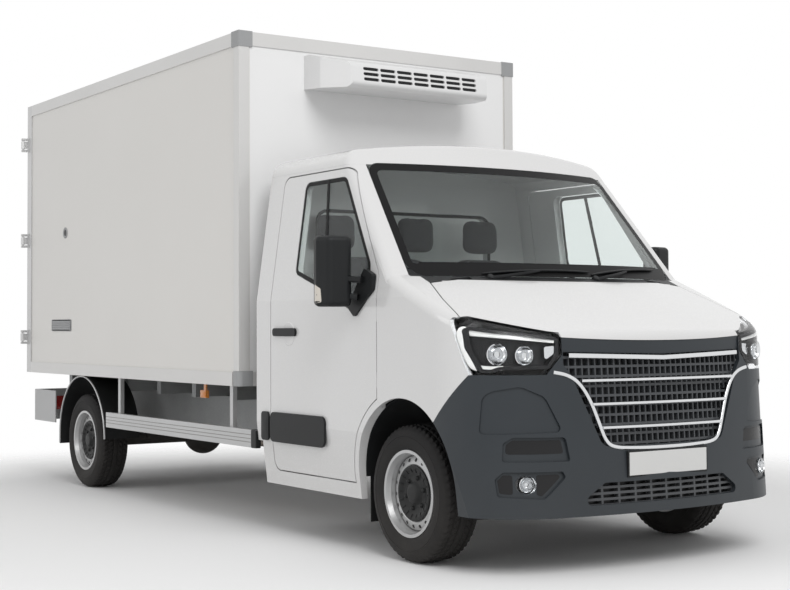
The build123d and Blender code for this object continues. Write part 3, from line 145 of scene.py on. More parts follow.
def rounded_section(width, depth, power=4.0, count=24):
    """Closed outline between an ellipse (power 2) and a rectangle (high power), width by depth."""
    turn = np.linspace(0, 2 * np.pi, count, endpoint=False)
    share = 2.0 / power
    across = np.sign(np.cos(turn)) * np.abs(np.cos(turn)) ** share
    out = np.sign(np.sin(turn)) * np.abs(np.sin(turn)) ** share
    return np.stack((across * width / 2, out * depth / 2), 1)


def carried(section, path, across, scale=None):
    """Profile carried along a path, closed at both ends.

    A point is the path's point plus the profile's first coordinate along across, made square to the path,
    and its second along the path's remaining direction. The end rows are drawn together to close them.
    """
    path = np.asarray(path, float)
    along = np.gradient(path, axis=0)
    along /= np.linalg.norm(along, axis=1, keepdims=True)
    side = np.broadcast_to(np.asarray(across, float), path.shape)
    side = side - np.sum(side * along, 1, keepdims=True) * along
    side /= np.linalg.norm(side, axis=1, keepdims=True)
    out = np.cross(along, side)
    size = np.ones(len(path)) if scale is None else np.asarray(scale, float)
    first = section[None, :, 0, None] * size[:, None, None]
    second = section[None, :, 1, None] * size[:, None, None]
    rows = path[:, None] + first * side[:, None] + second * out[:, None]
    start = np.broadcast_to(path[:1, None], rows[:1].shape)
    end = np.broadcast_to(path[-1:, None], rows[-1:].shape)
    return np.concatenate((start, rows, end)), False, True


def softened(points, rounds=3):
    """Path with its corners cut at a quarter and three quarters of each run, several times over."""
    points = np.asarray(points, float)
    for _ in range(rounds):
        near = points[:-1] * 0.75 + points[1:] * 0.25
        far = points[:-1] * 0.25 + points[1:] * 0.75
        cut = np.stack((near, far), 1).reshape(-1, points.shape[1])
        points = np.concatenate((points[:1], cut[1:-1], points[-1:]))
    return points


def spaced(points, count):
    """Path divided into equal steps along its length."""
    points = np.asarray(points, float)
    reach = np.concatenate(([0], np.cumsum(np.linalg.norm(np.diff(points, axis=0), axis=1))))
    steps = np.linspace(0, reach[-1], count)
    return np.stack([np.interp(steps, reach, points[:, k]) for k in range(points.shape[1])], 1)


def turned(profile, centre, axis=(0, 1, 0), steps=48):
    """Profile of (radius, reach) turned about an axis through the centre."""
    profile = np.asarray(profile, float)
    axis = np.asarray(axis, float) / np.linalg.norm(axis)
    helper = np.array((0.0, 0.0, 1.0)) if abs(axis[2]) < 0.9 else np.array((1.0, 0.0, 0.0))
    first = np.cross(helper, axis)
    first /= np.linalg.norm(first)
    second = np.cross(axis, first)
    turn = np.linspace(0, 2 * np.pi, steps, endpoint=False)
    spoke = np.cos(turn)[:, None] * first + np.sin(turn)[:, None] * second
    rows = profile[:, None, :1] * spoke[None] + profile[:, None, 1:] * axis
    return rows + np.asarray(centre, float), False, True


def domes(places, radius, rise, axis, steps=8):
    """Low round heads at many places: a quarter ellipse turned about the axis, closed behind."""
    bow = np.linspace(0, np.pi / 2, 4)
    profile = np.stack((np.cos(bow) * radius, np.sin(bow) * rise), 1)
    profile = np.concatenate(([[0, -rise * 0.3], [radius, -rise * 0.3]], profile))
    return [turned(profile, place, axis, steps) for place in places]


def box_form(low, high, power=10.0, rings=6, count=32):
    """Rounded box between two corners: a nearly rectangular outline in plan, drawn in at top and foot."""
    low, high = np.asarray(low, float), np.asarray(high, float)
    middle, size = (low + high) / 2, high - low
    turn = np.linspace(-np.pi / 2, np.pi / 2, 2 * rings + 1)
    draw = np.abs(np.cos(turn)) ** (2 / power)
    rise = np.sign(np.sin(turn)) * np.abs(np.sin(turn)) ** (2 / power)
    outline = rounded_section(size[0], size[1], power, count)
    plan = outline[None] * draw[:, None, None]
    height = np.broadcast_to((rise * size[2] / 2)[:, None, None], plan.shape[:2] + (1,))
    return np.concatenate((plan, height), 2) + middle, False, True


def on_nose(path, proud):
    """Path of (y, z) points set on the nose, standing proud of it by a given distance."""
    path = np.asarray(path, float)
    x = nose_x(path[:, 0], path[:, 1]) + proud
    return np.stack((x, path[:, 0], path[:, 1]), 1)


def side_y(z):
    """Half width of the cab at a height: drawn in below the sill line and above the waist."""
    z = np.asarray(z, float)
    return cab_side_y - 0.1419 * np.clip(z - 1.345, 0, None) - 0.1183 * np.clip(0.64 - z, 0, None)


def triangles(node):
    """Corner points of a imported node's triangles."""
    mesh = frame["nodes"][node].data
    mesh.calc_loop_triangles()
    points = np.empty(len(mesh.vertices) * 3)
    mesh.vertices.foreach_get("co", points)
    corners = np.empty(len(mesh.loop_triangles) * 3, int)
    mesh.loop_triangles.foreach_get("vertices", corners)
    return points.reshape(-1, 3)[corners.reshape(-1, 3)]


def cast(node, places, axis, side):
    """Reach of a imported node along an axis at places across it, seen from outside.

    A place inside a triangle takes its corners' values by their shares, and the outermost value holds.
    A place beside every triangle takes the value of the nearest place that has one.
    """
    corner = triangles(node)
    spot = places.reshape(-1, 1, 2)
    flat = np.delete(corner, axis, 2)
    near = np.all((flat.max(1) > spot.min((0, 1))) & (flat.min(1) < spot.max((0, 1))), 1)
    flat, reach = flat[near], side * corner[near][:, :, axis]
    first, second = flat[:, 1] - flat[:, 0], flat[:, 2] - flat[:, 0]
    size = first[:, 0] * second[:, 1] - first[:, 1] * second[:, 0]
    whole = np.abs(size) > 1e-10
    size = np.where(whole, size, 1.0)
    away = spot - flat[None, :, 0]
    one = (away[..., 0] * second[:, 1] - away[..., 1] * second[:, 0]) / size
    two = (first[:, 0] * away[..., 1] - first[:, 1] * away[..., 0]) / size
    inside = (one > -1e-6) & (two > -1e-6) & (one + two < 1 + 1e-6) & whole
    value = reach[:, 0] + one * (reach[:, 1] - reach[:, 0]) + two * (reach[:, 2] - reach[:, 0])
    value = np.where(inside, value, -np.inf).max(1)
    found = np.isfinite(value)
    if not found.all():
        gap = np.linalg.norm(spot[~found] - spot[found][:, 0], axis=2)
        value[~found] = value[found][gap.argmin(1)]
    return side * value.reshape(places.shape[:-1])


def across_to_point(axis, places, reach):
    """Places across an axis and their reach along it, put together as points."""
    parts = [places[..., 0], places[..., 1]]
    parts.insert(axis, np.broadcast_to(reach, places.shape[:-1]))
    return np.stack(parts, -1)


def on_node(node, axis, side, places, proud):
    """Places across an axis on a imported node's outside, standing proud of it."""
    return across_to_point(axis, places, cast(node, places, axis, side) + side * proud)


def on_flat(axis, reach, side, places, proud):
    """Places across an axis on a flat face at a given reach, standing proud of it."""
    return across_to_point(axis, places, reach + side * np.asarray(proud))


def on_screen(places, proud):
    """(y, z) places on the wind screen's glass, which lies a little behind the body's outside."""
    return across_to_point(0, places, screen_x(places[..., 0], places[..., 1]) - 0.004 + 1.34 * proud)


def on_door(side, places, proud):
    """(x, z) places on a door's window glass, which lies a little behind the door's outside."""
    return across_to_point(1, places, side * (side_y(places[..., 1]) - 0.003 + proud))


def facing(node, axis, side, places):
    """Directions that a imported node's outside faces: its slopes over a short step across the axis."""
    step = 0.004
    slopes = [
        (cast(node, places + shift, axis, side) - cast(node, places - shift, axis, side)) / (2 * step)
        for shift in (np.array((step, 0.0)), np.array((0.0, step)))
    ]
    parts = [-slope for slope in slopes]
    parts.insert(axis, np.ones_like(slopes[0]))
    normal = side * np.stack(parts, -1)
    return normal / np.linalg.norm(normal, axis=-1, keepdims=True)


def rounded_outline(points, radius, count):
    """Closed outline with its corners rounded, divided into equal steps.

    Each corner is replaced by an arc about a centre on its bisector, from the end of one straight to the
    start of the next.
    """
    points = np.asarray(points, float)
    radius = np.broadcast_to(radius, len(points)).astype(float)
    before, after = np.roll(points, 1, 0) - points, np.roll(points, -1, 0) - points
    before /= np.linalg.norm(before, axis=1, keepdims=True)
    after /= np.linalg.norm(after, axis=1, keepdims=True)
    half = np.arccos(np.clip(np.sum(before * after, 1), -1, 1)) / 2
    middle = before + after
    middle /= np.linalg.norm(middle, axis=1, keepdims=True)
    centre = points + middle * (radius / np.sin(half))[:, None]
    reach = (radius / np.tan(half))[:, None]
    start, end = points + before * reach - centre, points + after * reach - centre
    share = np.linspace(0, 1, 9)[None, :, None]
    spoke = start[:, None] * (1 - share) + end[:, None] * share
    spoke *= radius[:, None, None] / np.linalg.norm(spoke, axis=2, keepdims=True)
    line = (centre[:, None] + spoke).reshape(-1, 2)
    return spaced(np.concatenate((line, line[:1])), count + 1)[:-1]


def drawn_in(outline, distance):
    """Closed outline moved inwards, square to itself, by a distance."""
    along = np.roll(outline, -1, 0) - np.roll(outline, 1, 0)
    along /= np.linalg.norm(along, axis=1, keepdims=True)
    ahead = np.roll(outline, -1, 0)
    turn = np.sign(np.sum(outline[:, 0] * ahead[:, 1] - ahead[:, 0] * outline[:, 1]))
    return outline + turn * distance * np.stack((-along[:, 1], along[:, 0]), 1)


def band(outline, width, place, thick, rows=3):
    """Ring along a closed outline: from it to a line drawn in by the width, at the face and behind it."""
    share = np.linspace(0, 1, rows)[:, None, None]
    face = outline + (drawn_in(outline, width) - outline) * share
    return np.concatenate((place(face, 0.0), place(face[::-1], -thick))), True, True


def panel(outline, place, thick, rings=5, crown=0.0):
    """Plate inside a closed outline: rings drawn in towards its middle, crowned there, and its back."""
    middle = outline.mean(0)
    share = np.linspace(0, 1, rings)[:, None, None]
    rows = middle + (outline - middle) * share
    rise = np.broadcast_to(crown * (1 - share[..., 0] ** 2), rows.shape[:2])
    back = np.full(rows.shape[:2], -thick)
    return np.concatenate((place(rows, rise), place(rows[::-1], back))), False, True


def oblong(low, high, radius, count=40):
    """Rectangle between two corners with rounded corners, as a closed outline."""
    (x0, z0), (x1, z1) = low, high
    return rounded_outline(((x0, z0), (x1, z0), (x1, z1), (x0, z1)), radius, count)


def raised(face, height, places, proud):
    """Places a given height above a face, or below it where the height is negative."""
    return face(places, proud + height)


# Shader node groups, each built once


def new_group(name, inputs, outputs):
    """Empty shader node group with named sockets."""
    group = bpy.data.node_groups.new(name, "ShaderNodeTree")
    for label, kind, default in inputs:
        socket = group.interface.new_socket(label, in_out="INPUT", socket_type=kind)
        socket.default_value = default
    for label, kind in outputs:
        group.interface.new_socket(label, in_out="OUTPUT", socket_type=kind)
    return group, group.nodes.new("NodeGroupInput"), group.nodes.new("NodeGroupOutput")


def add_node(tree, kind, **values):
    """Node of one kind with its settings, sockets by name."""
    node = tree.nodes.new(kind)
    for label, value in values.items():
        if hasattr(node, label):
            setattr(node, label, value)
        else:
            node.inputs[label.replace("_", " ")].default_value = value
    return node


def build_grain_group():
    """Grain: fine and broad noise on the object's own coordinates, as a value and a height."""
    group, given, result = new_group(
        "surface grain",
        (("Scale", "NodeSocketFloat", 40.0), ("Broad Scale", "NodeSocketFloat", 2.0)),
        (("Fine", "NodeSocketFloat"), ("Broad", "NodeSocketFloat")),
    )
    place = group.nodes.new("ShaderNodeTexCoord")
    for label, socket, detail in (("Fine", "Scale", 3.0), ("Broad", "Broad Scale", 4.0)):
        noise = add_node(group, "ShaderNodeTexNoise", Detail=detail, Roughness=0.55)
        group.links.new(place.outputs["Object"], noise.inputs["Vector"])
        group.links.new(given.outputs[socket], noise.inputs["Scale"])
        group.links.new(noise.outputs["Fac"], result.inputs[label])
    return group


def build_dust_group():
    """Road dust: thickest near the ground and broken up by noise, as a mask and a dusted colour."""
    group, given, result = new_group(
        "road dust",
        (
            ("Color", "NodeSocketColor", (1, 1, 1, 1)),
            ("Dust", "NodeSocketColor", (0.32, 0.29, 0.25, 1)),
            ("Amount", "NodeSocketFloat", 0.2),
            ("Top", "NodeSocketFloat", 0.9),
        ),
        (("Color", "NodeSocketColor"), ("Mask", "NodeSocketFloat")),
    )
    place = group.nodes.new("ShaderNodeTexCoord")
    split = group.nodes.new("ShaderNodeSeparateXYZ")
    group.links.new(place.outputs["Object"], split.inputs[0])
    fall = add_node(group, "ShaderNodeMapRange")
    fall.inputs["From Min"].default_value = 0.0
    fall.inputs["To Min"].default_value = 1.0
    fall.inputs["To Max"].default_value = 0.0
    group.links.new(split.outputs["Z"], fall.inputs["Value"])
    group.links.new(given.outputs["Top"], fall.inputs["From Max"])
    noise = add_node(group, "ShaderNodeTexNoise", Scale=5.0, Detail=5.0, Roughness=0.65)
    group.links.new(place.outputs["Object"], noise.inputs["Vector"])
    broken = add_node(group, "ShaderNodeMath", operation="MULTIPLY")
    group.links.new(fall.outputs[0], broken.inputs[0])
    group.links.new(noise.outputs["Fac"], broken.inputs[1])
    mask = add_node(group, "ShaderNodeMath", operation="MULTIPLY", use_clamp=True)
    group.links.new(broken.outputs[0], mask.inputs[0])
    group.links.new(given.outputs["Amount"], mask.inputs[1])
    mix = add_node(group, "ShaderNodeMix", data_type="RGBA")
    group.links.new(mask.outputs[0], mix.inputs[0])
    group.links.new(given.outputs["Color"], mix.inputs[6])
    group.links.new(given.outputs["Dust"], mix.inputs[7])
    group.links.new(mix.outputs[2], result.inputs["Color"])
    group.links.new(mask.outputs[0], result.inputs["Mask"])
    return group


def build_weave_group():
    """Weave: two crossed sets of threads on the object's coordinates, as a height."""
    group, given, result = new_group(
        "cloth weave",
        (("Scale", "NodeSocketFloat", 260.0),),
        (("Height", "NodeSocketFloat"),),
    )
    place = group.nodes.new("ShaderNodeTexCoord")
    waves = []
    for direction in ("Y", "Z"):
        wave = add_node(group, "ShaderNodeTexWave", bands_direction=direction, Distortion=1.2)
        group.links.new(place.outputs["Object"], wave.inputs["Vector"])
        group.links.new(given.outputs["Scale"], wave.inputs["Scale"])
        waves.append(wave)
    top = add_node(group, "ShaderNodeMath", operation="MAXIMUM")
    for number, wave in enumerate(waves):
        group.links.new(wave.outputs["Fac"], top.inputs[number])
    group.links.new(top.outputs[0], result.inputs["Height"])
    return group


def fresh_material(name, colour):
    """Shader tree and plain shader of a named material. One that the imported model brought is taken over."""
    material = bpy.data.materials.get(name) or bpy.data.materials.new(name)
    material.use_nodes = True
    material.diffuse_color = colour
    tree = material.node_tree
    tree.nodes.clear()
    shader = tree.nodes.new("ShaderNodeBsdfPrincipled")
    output = tree.nodes.new("ShaderNodeOutputMaterial")
    tree.links.new(shader.outputs[0], output.inputs["Surface"])
    return tree, shader


def grouped(tree, name, **values):
    """Node that holds one of the groups, its sockets by name."""
    node = tree.nodes.new("ShaderNodeGroup")
    node.node_tree = bpy.data.node_groups[name]
    for label, value in values.items():
        node.inputs[label.replace("_", " ")].default_value = value
    return node


def mixed(tree, share, first, second):
    """Colour between two by a share."""
    node = add_node(tree, "ShaderNodeMix", data_type="RGBA")
    node.inputs[6].default_value = (*first, 1)
    node.inputs[7].default_value = (*second, 1)
    tree.links.new(share, node.inputs[0])
    return node.outputs[2]


def ranged(tree, value, low, high, start=0.0, stop=1.0):
    """Value carried over from one range to another."""
    node = tree.nodes.new("ShaderNodeMapRange")
    for label, number in (("From Min", start), ("From Max", stop), ("To Min", low), ("To Max", high)):
        node.inputs[label].default_value = number
    tree.links.new(value, node.inputs["Value"])
    return node.outputs[0]


def bumped(tree, shader, height, strength, distance):
    """Relief of a given depth on a shader."""
    bump = add_node(tree, "ShaderNodeBump", Strength=strength, Distance=distance)
    tree.links.new(height, bump.inputs["Height"])
    tree.links.new(bump.outputs["Normal"], shader.inputs["Normal"])


def let_through(tree, shader, share, colour):
    """Shader mixed with a clear one by a share and set as the surface."""
    clear = add_node(tree, "ShaderNodeBsdfTransparent", Color=(*colour, 1))
    mix = tree.nodes.new("ShaderNodeMixShader")
    tree.links.new(share, mix.inputs[0])
    tree.links.new(shader.outputs[0], mix.inputs[1])
    tree.links.new(clear.outputs[0], mix.inputs[2])
    tree.links.new(mix.outputs[0], tree.nodes["Material Output"].inputs["Surface"])


# Finish of each material slot. Columns: colour, second colour, roughness from and to, metallic,
# grain scale, broad scale, bump height in micrometres, dust amount, dust top in metres, coat
finish_table = {
    "white_paint": ((0.73, 0.73, 0.73), (0.7, 0.695, 0.69), 0.2, 0.3, 0, 260, 1.2, 20, 0.25, 0.7, 0.7),
    "box_panel": ((0.76, 0.745, 0.72), (0.71, 0.695, 0.665), 0.3, 0.42, 0, 90, 0.8, 60, 0.15, 1.4, 0.2),
    "box_floor": ((0.16, 0.13, 0.1), (0.11, 0.09, 0.07), 0.55, 0.75, 0, 120, 2, 400, 0.2, 1.2, 0),
    "rail_metal": ((0.56, 0.565, 0.57), (0.46, 0.465, 0.47), 0.32, 0.48, 0.65, 180, 1.5, 50, 0.25, 1.2, 0),
    "frame_steel": ((0.6, 0.6, 0.6), (0.5, 0.5, 0.5), 0.28, 0.45, 0.75, 200, 2, 50, 0.2, 1.2, 0),
    "grey_caps": ((0.36, 0.365, 0.37), (0.31, 0.315, 0.32), 0.45, 0.6, 0, 300, 2, 100, 0.1, 1.2, 0),
    "cooler_case": ((0.8, 0.8, 0.8), (0.74, 0.74, 0.74), 0.3, 0.42, 0, 220, 1.5, 50, 0, 1, 0.2),
    "bumper_plastic": ((0.03, 0.036, 0.042), (0.024, 0.029, 0.034), 0.36, 0.5, 0, 420, 3, 100, 0.06, 0.7, 0),
    "black_plastic": ((0.011, 0.012, 0.013), (0.017, 0.018, 0.019), 0.34, 0.5, 0, 400, 3, 100, 0.06, 0.8, 0),
    "grille_black": ((0.075, 0.079, 0.085), (0.06, 0.064, 0.07), 0.34, 0.48, 0, 300, 3, 50, 0.1, 0.7, 0.1),
    "lamp_black": ((0.01, 0.01, 0.011), (0.016, 0.016, 0.017), 0.3, 0.45, 0, 200, 2, 30, 0.05, 0.7, 0.1),
    "chassis_black": ((0.016, 0.016, 0.017), (0.03, 0.029, 0.028), 0.45, 0.68, 0, 150, 3, 200, 0.45, 0.8, 0),
    "bumper_grey": ((0.46, 0.465, 0.47), (0.4, 0.405, 0.41), 0.35, 0.5, 0.1, 200, 2, 100, 0.3, 0.9, 0.1),
    "engine_iron": ((0.1, 0.1, 0.1), (0.06, 0.055, 0.05), 0.5, 0.7, 0.5, 100, 4, 400, 0.4, 0.9, 0),
    "exhaust_steel": ((0.3, 0.28, 0.26), (0.18, 0.13, 0.1), 0.38, 0.62, 0.8, 90, 5, 200, 0.35, 0.6, 0),
    "tank_plastic": ((0.022, 0.022, 0.023), (0.03, 0.03, 0.031), 0.45, 0.6, 0, 250, 3, 200, 0.45, 0.8, 0),
    "dash_plastic": ((0.03, 0.031, 0.033), (0.024, 0.025, 0.026), 0.5, 0.65, 0, 600, 4, 200, 0, 1, 0),
    "cab_floor": ((0.02, 0.02, 0.021), (0.03, 0.03, 0.03), 0.7, 0.85, 0, 300, 4, 300, 0.3, 0.9, 0),
    "tyre": ((0.01, 0.01, 0.011), (0.017, 0.016, 0.016), 0.6, 0.78, 0, 220, 6, 300, 0.12, 0.7, 0),
    "rim_silver": ((0.52, 0.525, 0.53), (0.44, 0.445, 0.45), 0.3, 0.42, 0.55, 260, 4, 40, 0.35, 0.7, 0.2),
    "chrome": ((0.74, 0.75, 0.76), (0.66, 0.67, 0.68), 0.07, 0.16, 1, 200, 2, 10, 0.08, 0.7, 0),
    "lamp_glow": ((0.84, 0.84, 0.82), (0.76, 0.76, 0.75), 0.12, 0.2, 0, 200, 2, 20, 0, 0.7, 0.5),
    "amber_lens": ((0.62, 0.2, 0.01), (0.52, 0.16, 0.008), 0.12, 0.22, 0, 300, 3, 100, 0.1, 0.8, 0.5),
    "mirror_glass": ((0.62, 0.64, 0.66), (0.56, 0.58, 0.6), 0.03, 0.06, 1, 60, 2, 5, 0.05, 0.8, 0),
    "plate_white": ((0.7, 0.7, 0.69), (0.66, 0.66, 0.65), 0.32, 0.42, 0, 200, 2, 30, 0.15, 0.7, 0.1),
    "rubber_seal": ((0.01, 0.01, 0.011), (0.016, 0.016, 0.016), 0.28, 0.42, 0, 300, 4, 40, 0.05, 0.9, 0),
    "pale_lens": ((0.7, 0.66, 0.6), (0.62, 0.57, 0.5), 0.1, 0.2, 0, 300, 3, 100, 0.05, 0.8, 0.5),
    # Darker grey along the side guards: painted shade of their grooves
    "groove_shade_grey": ((0.3, 0.295, 0.285), (0.24, 0.235, 0.23), 0.45, 0.6, 0.3, 200, 2, 50, 0.2, 1, 0),
    "galvanised": ((0.36, 0.37, 0.375), (0.27, 0.28, 0.285), 0.42, 0.6, 0.5, 60, 8, 100, 0.3, 0.9, 0),
    "rail_pale": ((0.7, 0.695, 0.685), (0.63, 0.625, 0.615), 0.3, 0.44, 0.2, 180, 1.5, 50, 0.2, 1.2, 0.1),
    # Brighter copy of box_panel for the box's front wall: painted light
    "lit_box_panel": ((0.88, 0.88, 0.88), (0.85, 0.85, 0.85), 0.3, 0.42, 0, 90, 0.8, 60, 0.1, 1.4, 0.2),
}
# Specular level of the finishes that shine less than usual
dull_finishes = {
    "bumper_plastic": 0.36,
    "black_plastic": 0.2,
    "grille_black": 0.3,
    "lamp_black": 0.2,
    "chassis_black": 0.3,
    "tank_plastic": 0.3,
    "dash_plastic": 0.2,
    "cab_floor": 0.2,
    "tyre": 0.2,
    "rubber_seal": 0.08,
}


# Nodes whose finish differs from that of their slot. The box's front wall takes a brighter copy of the box
# panel: painted light on the face turned to the lamps
special_finishes = {
    "chassis_frame": "galvanised",
    "box_bearers": "galvanised",
    "box_front_wall": "lit_box_panel",
    "box_edge_rails": "rail_pale",
}


def build_finish(name, row):
    """Material of one slot: two colours blended by broad noise, dusted, with grain in gloss and bump."""
    colour, second, smooth, rough, metal, scale, broad, bump_height, dust, dust_top, coat = row
    tree, shader = fresh_material(name, (*colour, 1))
    shader.inputs["Metallic"].default_value = metal
    shader.inputs["Coat Weight"].default_value = coat
    shader.inputs["Coat Roughness"].default_value = 0.06
    shader.inputs["Specular IOR Level"].default_value = dull_finishes.get(name, 0.5)
    grain = grouped(tree, "surface grain", Scale=scale, Broad_Scale=broad)
    dusted = grouped(tree, "road dust", Amount=dust, Top=dust_top)
    tree.links.new(mixed(tree, grain.outputs["Broad"], colour, second), dusted.inputs["Color"])
    tree.links.new(dusted.outputs["Color"], shader.inputs["Base Color"])
    tree.links.new(ranged(tree, grain.outputs["Fine"], smooth, rough, 0.3, 0.7), shader.inputs["Roughness"])
    bumped(tree, shader, grain.outputs["Fine"], 1.0, bump_height * 1e-6)


def build_glass(name, tint):
    """Tinted window glass or a clear lens, faintly smeared, letting light in to what is behind it."""
    tree, shader = fresh_material(name, (*tint, 0.4))
    shader.inputs["Transmission Weight"].default_value = 1.0
    shader.inputs["IOR"].default_value = 1.22
    grain = grouped(tree, "surface grain", Scale=30, Broad_Scale=1.5)
    darker = tuple(0.94 * value for value in tint)
    tree.links.new(mixed(tree, grain.outputs["Broad"], tint, darker), shader.inputs["Base Color"])
    tree.links.new(ranged(tree, grain.outputs["Fine"], 0.0, 0.025), shader.inputs["Roughness"])
    rays = tree.nodes.new("ShaderNodeLightPath")
    let_through(tree, shader, rays.outputs["Is Shadow Ray"], tint)


def build_lens(name, rear, marker):
    """Coloured lamp lens: one colour at the truck's rear, another further forward, with fine ribs."""
    tree, shader = fresh_material(name, (*rear, 1))
    shader.inputs["Coat Weight"].default_value = 0.6
    place = tree.nodes.new("ShaderNodeTexCoord")
    split = tree.nodes.new("ShaderNodeSeparateXYZ")
    tree.links.new(place.outputs["Object"], split.inputs[0])
    forward = add_node(tree, "ShaderNodeMath", operation="GREATER_THAN")
    forward.inputs[1].default_value = -1.5
    tree.links.new(split.outputs["X"], forward.inputs[0])
    tree.links.new(mixed(tree, forward.outputs[0], rear, marker), shader.inputs["Base Color"])
    ribs = add_node(tree, "ShaderNodeTexWave", bands_direction="Y", Scale=60.0)
    tree.links.new(place.outputs["Object"], ribs.inputs["Vector"])
    tree.links.new(ranged(tree, ribs.outputs["Fac"], 0.08, 0.2), shader.inputs["Roughness"])
    bumped(tree, shader, ribs.outputs["Fac"], 1.0, 0.0006)


def build_cloth(name, colour, second):
    """Woven seat cloth: two close colours, thread bump, a soft sheen."""
    tree, shader = fresh_material(name, (*colour, 1))
    shader.inputs["Sheen Weight"].default_value = 0.25
    shader.inputs["Sheen Roughness"].default_value = 0.5
    threads = grouped(tree, "cloth weave").outputs["Height"]
    tree.links.new(mixed(tree, threads, colour, second), shader.inputs["Base Color"])
    tree.links.new(ranged(tree, threads, 0.75, 0.92), shader.inputs["Roughness"])
    bumped(tree, shader, threads, 0.8, 0.0006)


# Settings that a user would change


class TruckSettings(bpy.types.PropertyGroup):
    """Sizes and colours of the truck's trim."""

    tread_depth: bpy.props.FloatProperty(
        name="Tread depth", description="Depth of the tyres' grooves", default=0.008, unit="LENGTH"
    )
    chrome_width: bpy.props.FloatProperty(
        name="Chrome width", description="Height of a chrome grille bar", default=0.016, unit="LENGTH"
    )
    glass_tint: bpy.props.FloatVectorProperty(
        name="Glass tint",
        description="Colour of the window glass",
        default=(0.88, 0.92, 0.91),
        subtype="COLOR",
    )
    seat_cloth: bpy.props.FloatVectorProperty(
        name="Seat cloth",
        description="Colour of the seat cloth",
        default=(0.045, 0.046, 0.050),
        subtype="COLOR",
    )


class StageSettings(bpy.types.PropertyGroup):
    """Light, floor and camera."""

    key_power: bpy.props.FloatProperty(
        name="Key light", description="Power of the main lamp", default=500.0, unit="POWER"
    )
    side_power: bpy.props.FloatProperty(
        name="Side light",
        description="Power of the lamp at the truck's right side",
        default=130.0,
        unit="POWER",
    )
    sky_light: bpy.props.FloatProperty(
        name="Sky light", description="Strength of the even light from all round", default=0.52
    )
    floor_colour: bpy.props.FloatVectorProperty(
        name="Floor colour", description="Colour of the floor", default=(0.94, 0.94, 0.94), subtype="COLOR"
    )
    lens: bpy.props.FloatProperty(
        name="Lens", description="Focal length of the camera", default=66.5, unit="CAMERA"
    )


class TRUCK_OT_finishes(bpy.types.Operator):
    """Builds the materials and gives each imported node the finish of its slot"""

    bl_idname = "truck.finishes"
    bl_label = "Finishes"

    def execute(self, context):
        settings = context.scene.truck
        build_grain_group()
        build_dust_group()
        build_weave_group()
        for name, row in finish_table.items():
            build_finish(name, row)
        tint = tuple(settings.glass_tint)
        build_glass("glass", tint)
        build_glass("lamp_cover", (0.94, 0.95, 0.96))
        build_lens("lamp_red", (0.40, 0.012, 0.010), (0.62, 0.20, 0.010))
        cloth = tuple(settings.seat_cloth)
        build_cloth("seat_fabric", cloth, tuple(1.7 * value for value in cloth))
        for row in frame["record"]["subparts"]:
            mesh = frame["nodes"][row["node"]].data
            mesh.materials.clear()
            finish = special_finishes.get(row["node"], row["material_slot"])
            mesh.materials.append(bpy.data.materials[finish])
        return {"FINISHED"}


# Wheels. Columns of the table: name, place of the axle, side
wheel_table = (
    ("front_right", front_axle_x, -1),
    ("front_left", front_axle_x, 1),
    ("rear_right", rear_axle_x, -1),
    ("rear_left", rear_axle_x, 1),
)
tyre_r = 0.3495
tread_half = 0.086
tread_pitches = 56


def tyre_grid(centre, side, profile, depth):
    """Tyre: its section turned about the axle, the tread lowered by grooves along and across.

    The grooves along are four narrow bands of the width. Those across are slanted bars at a steady pitch,
    deeper at the shoulders, and both are the greater of two smooth steps.
    """
    steps = tread_pitches * 5
    turn = np.linspace(0, 2 * np.pi, steps, endpoint=False)
    radius, reach = profile.T
    tread = np.clip((radius - 0.328) / 0.014, 0, 1) * (np.abs(reach) < 0.104)
    long_groove = np.zeros_like(reach)
    for place in (-0.056, -0.019, 0.019, 0.056):
        long_groove = np.maximum(long_groove, np.clip(1.8 - np.abs(reach - place) / 0.0035, 0, 1))
    slant = turn[None] * tread_pitches / (2 * np.pi) + np.abs(reach)[:, None] / 0.05
    cross = np.abs(slant % 1.0 - 0.5) * 2
    cross = np.clip((cross - 0.62) / 0.15, 0, 1) * np.clip(np.abs(reach)[:, None] / 0.03, 0.25, 1)
    lowered = depth * tread[:, None] * np.maximum(long_groove[:, None], 0.75 * cross)
    r = radius[:, None] - lowered
    x = centre[0] + r * np.cos(turn)[None]
    z = centre[2] + r * np.sin(turn)[None]
    y = np.broadcast_to(centre[1] + side * reach[:, None], x.shape)
    return np.stack((x, y, z), 2), True, True


class TRUCK_OT_tyres(bpy.types.Operator):
    """Tyres with tread, shoulder bars and side wall rings in place of the plain ones"""

    bl_idname = "truck.tyres"
    bl_label = "Tyres"

    def execute(self, context):
        depth = context.scene.truck.tread_depth
        for name, _, side in wheel_table:
            low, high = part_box(f"tyre_{name}")
            middle = (low + high) / 2
            half = (high.y - low.y) / 2
            rings = [
                (0.2225, -0.092), (0.2225, -half + 0.012), (0.236, -half + 0.005), (0.262, -half + 0.001),
                (0.285, -half), (0.288, -half + 0.002), (0.291, -half), (0.314, -half + 0.006),
                (0.330, -half + 0.014), (0.340, -half + 0.024),
            ]
            crown = np.linspace(-tread_half, tread_half, 58)
            left = np.array(rings)
            top = np.stack((tyre_r - 0.006 * (crown / tread_half) ** 2, crown), 1)
            right = left[::-1] * (1, -1)
            profile = np.concatenate((left, top, right))
            grid = tyre_grid(middle, side, profile, depth)
            made = piece(f"tyre_tread_{name}", [grid], f"wheel_{name}", "tyre", sharp=28)
            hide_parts(f"tyre_{name}")
        return {"FINISHED"}


both_sides = (("right", -1), ("left", 1))
